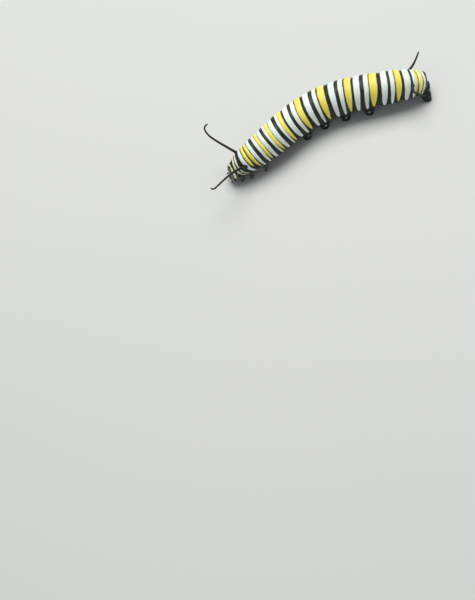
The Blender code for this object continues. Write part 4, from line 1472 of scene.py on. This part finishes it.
def unrolled(along, row):
    """The place of a spot on the unrolled skin, by a row counted from the middle of the back."""
    return MAP_START + MAP_LENGTH * along / LENGTH, MAP_MIDDLE + row


def plant(root, way, length, map_place):
    """Keeps the root, the way and the length of a bristle, and its place on the unrolled skin."""
    way = unit(way)
    drop = unit(way * way[2] - UP)
    bristle_places.append((root, (drop, np.cross(way, drop), way), length, map_place))


def plant_on_trunk(along, turn, sunk, lean, least, most):
    """A bristle on the trunk, with a length between two. The lean is added to the way out."""
    root, way = skin_spot(along, turn)
    map_place = unrolled(along, MAP_GIRTH * turn / math.pi)
    plant(root - way * sunk, way + lean, rng.uniform(least, most), map_place)


for _ in range(BACK_BRISTLES):
    along, turn = rng.uniform(0.3, LENGTH - 0.7), rng.uniform(-BACK_TURN, BACK_TURN)
    plant_on_trunk(along, turn, 0.03, body_frame(along)[1] * -0.5, 0.12, 0.22)
for foot in FEET:
    heights, *radii = np.array(foot[-1][0])[::-1].T
    for _ in range(STUMP_BRISTLES):
        turn, height = rng.uniform(0.0, math.pi), rng.uniform(0.35, 1.5)
        middle, forward, out = stump_middle(*foot, height)
        long_radius, cross_radius = (np.interp(height, heights, column) for column in radii)
        spread = round_foot(turn, forward, out, (long_radius, cross_radius))
        along = place_in(*foot[:2]) - math.cos(turn) * long_radius
        map_place = unrolled(along, foot[2] * (STUMP_ROW - 0.03 * height))
        way = unit(spread) - UP * 0.35
        plant(middle + spread * 0.93, way, rng.uniform(0.2, 0.36), map_place)
while len(bristle_places) < BACK_BRISTLES + STUMP_BRISTLES * len(FEET) + HEAD_BRISTLES:
    way = unit(rng.normal(size=3) * (1.0, 1.0, 0.9) + (0.55, 0.0, 0.0))
    if way[0] > FACE_LEAST:
        root, out = head_spot(way)
        map_place = (0.5 + way[1] * HEAD_MAP, HEAD_ROW + way[2] * HEAD_MAP)
        plant(root - out * 0.02, out + (0.4, 0.0, -0.3) @ HEAD_WAYS, rng.uniform(0.14, 0.26), map_place)
for _ in range(TAIL_BRISTLES):
    along, turn = rng.uniform(LENGTH - 0.55, LENGTH - 0.08), rng.uniform(-TAIL_TURN, TAIL_TURN)
    plant_on_trunk(along, turn, 0.06, UP * 0.25, 0.2, 0.36)
print("bristles:", len(bristle_places))

# %% Bristles
BRISTLE_THICKNESS, BRISTLE_BEND = 0.07, 0.14
BRISTLE_SIDES, BRISTLE_RINGS = 4, 4
PATCH = 0.0024

shares = np.linspace(0.0, 1.0, BRISTLE_RINGS)
bristle_path = np.stack([BRISTLE_BEND * shares**2, 0 * shares, shares], axis=1)
bristle_rings = rings_round(bristle_path, BRISTLE_THICKNESS * (1.05 - shares), BRISTLE_SIDES)
bristle = pull_rings("bristle", bristle_rings)
patch_map = bristle.data.uv_layers[0]
patch_map.name = "OFBake"
model_points = coordinates(bristle)
for loop in bristle.data.loops:
    x, y, z = model_points[loop.vertex_index]
    patch_map.data[loop.index].uv = ((0.5 + x + y) * PATCH, z * PATCH)
BRISTLE_FINISH = plain_finish(
    "bristle", ((0.01, 0.009, 0.007), (0.05, 0.04, 0.025)), (0.4, 0.15), 3000.0, Specular_IOR_Level=0.5
)
settle(joined_copies("short_bristles", bristle, bristle_places), BRISTLE_FINISH)
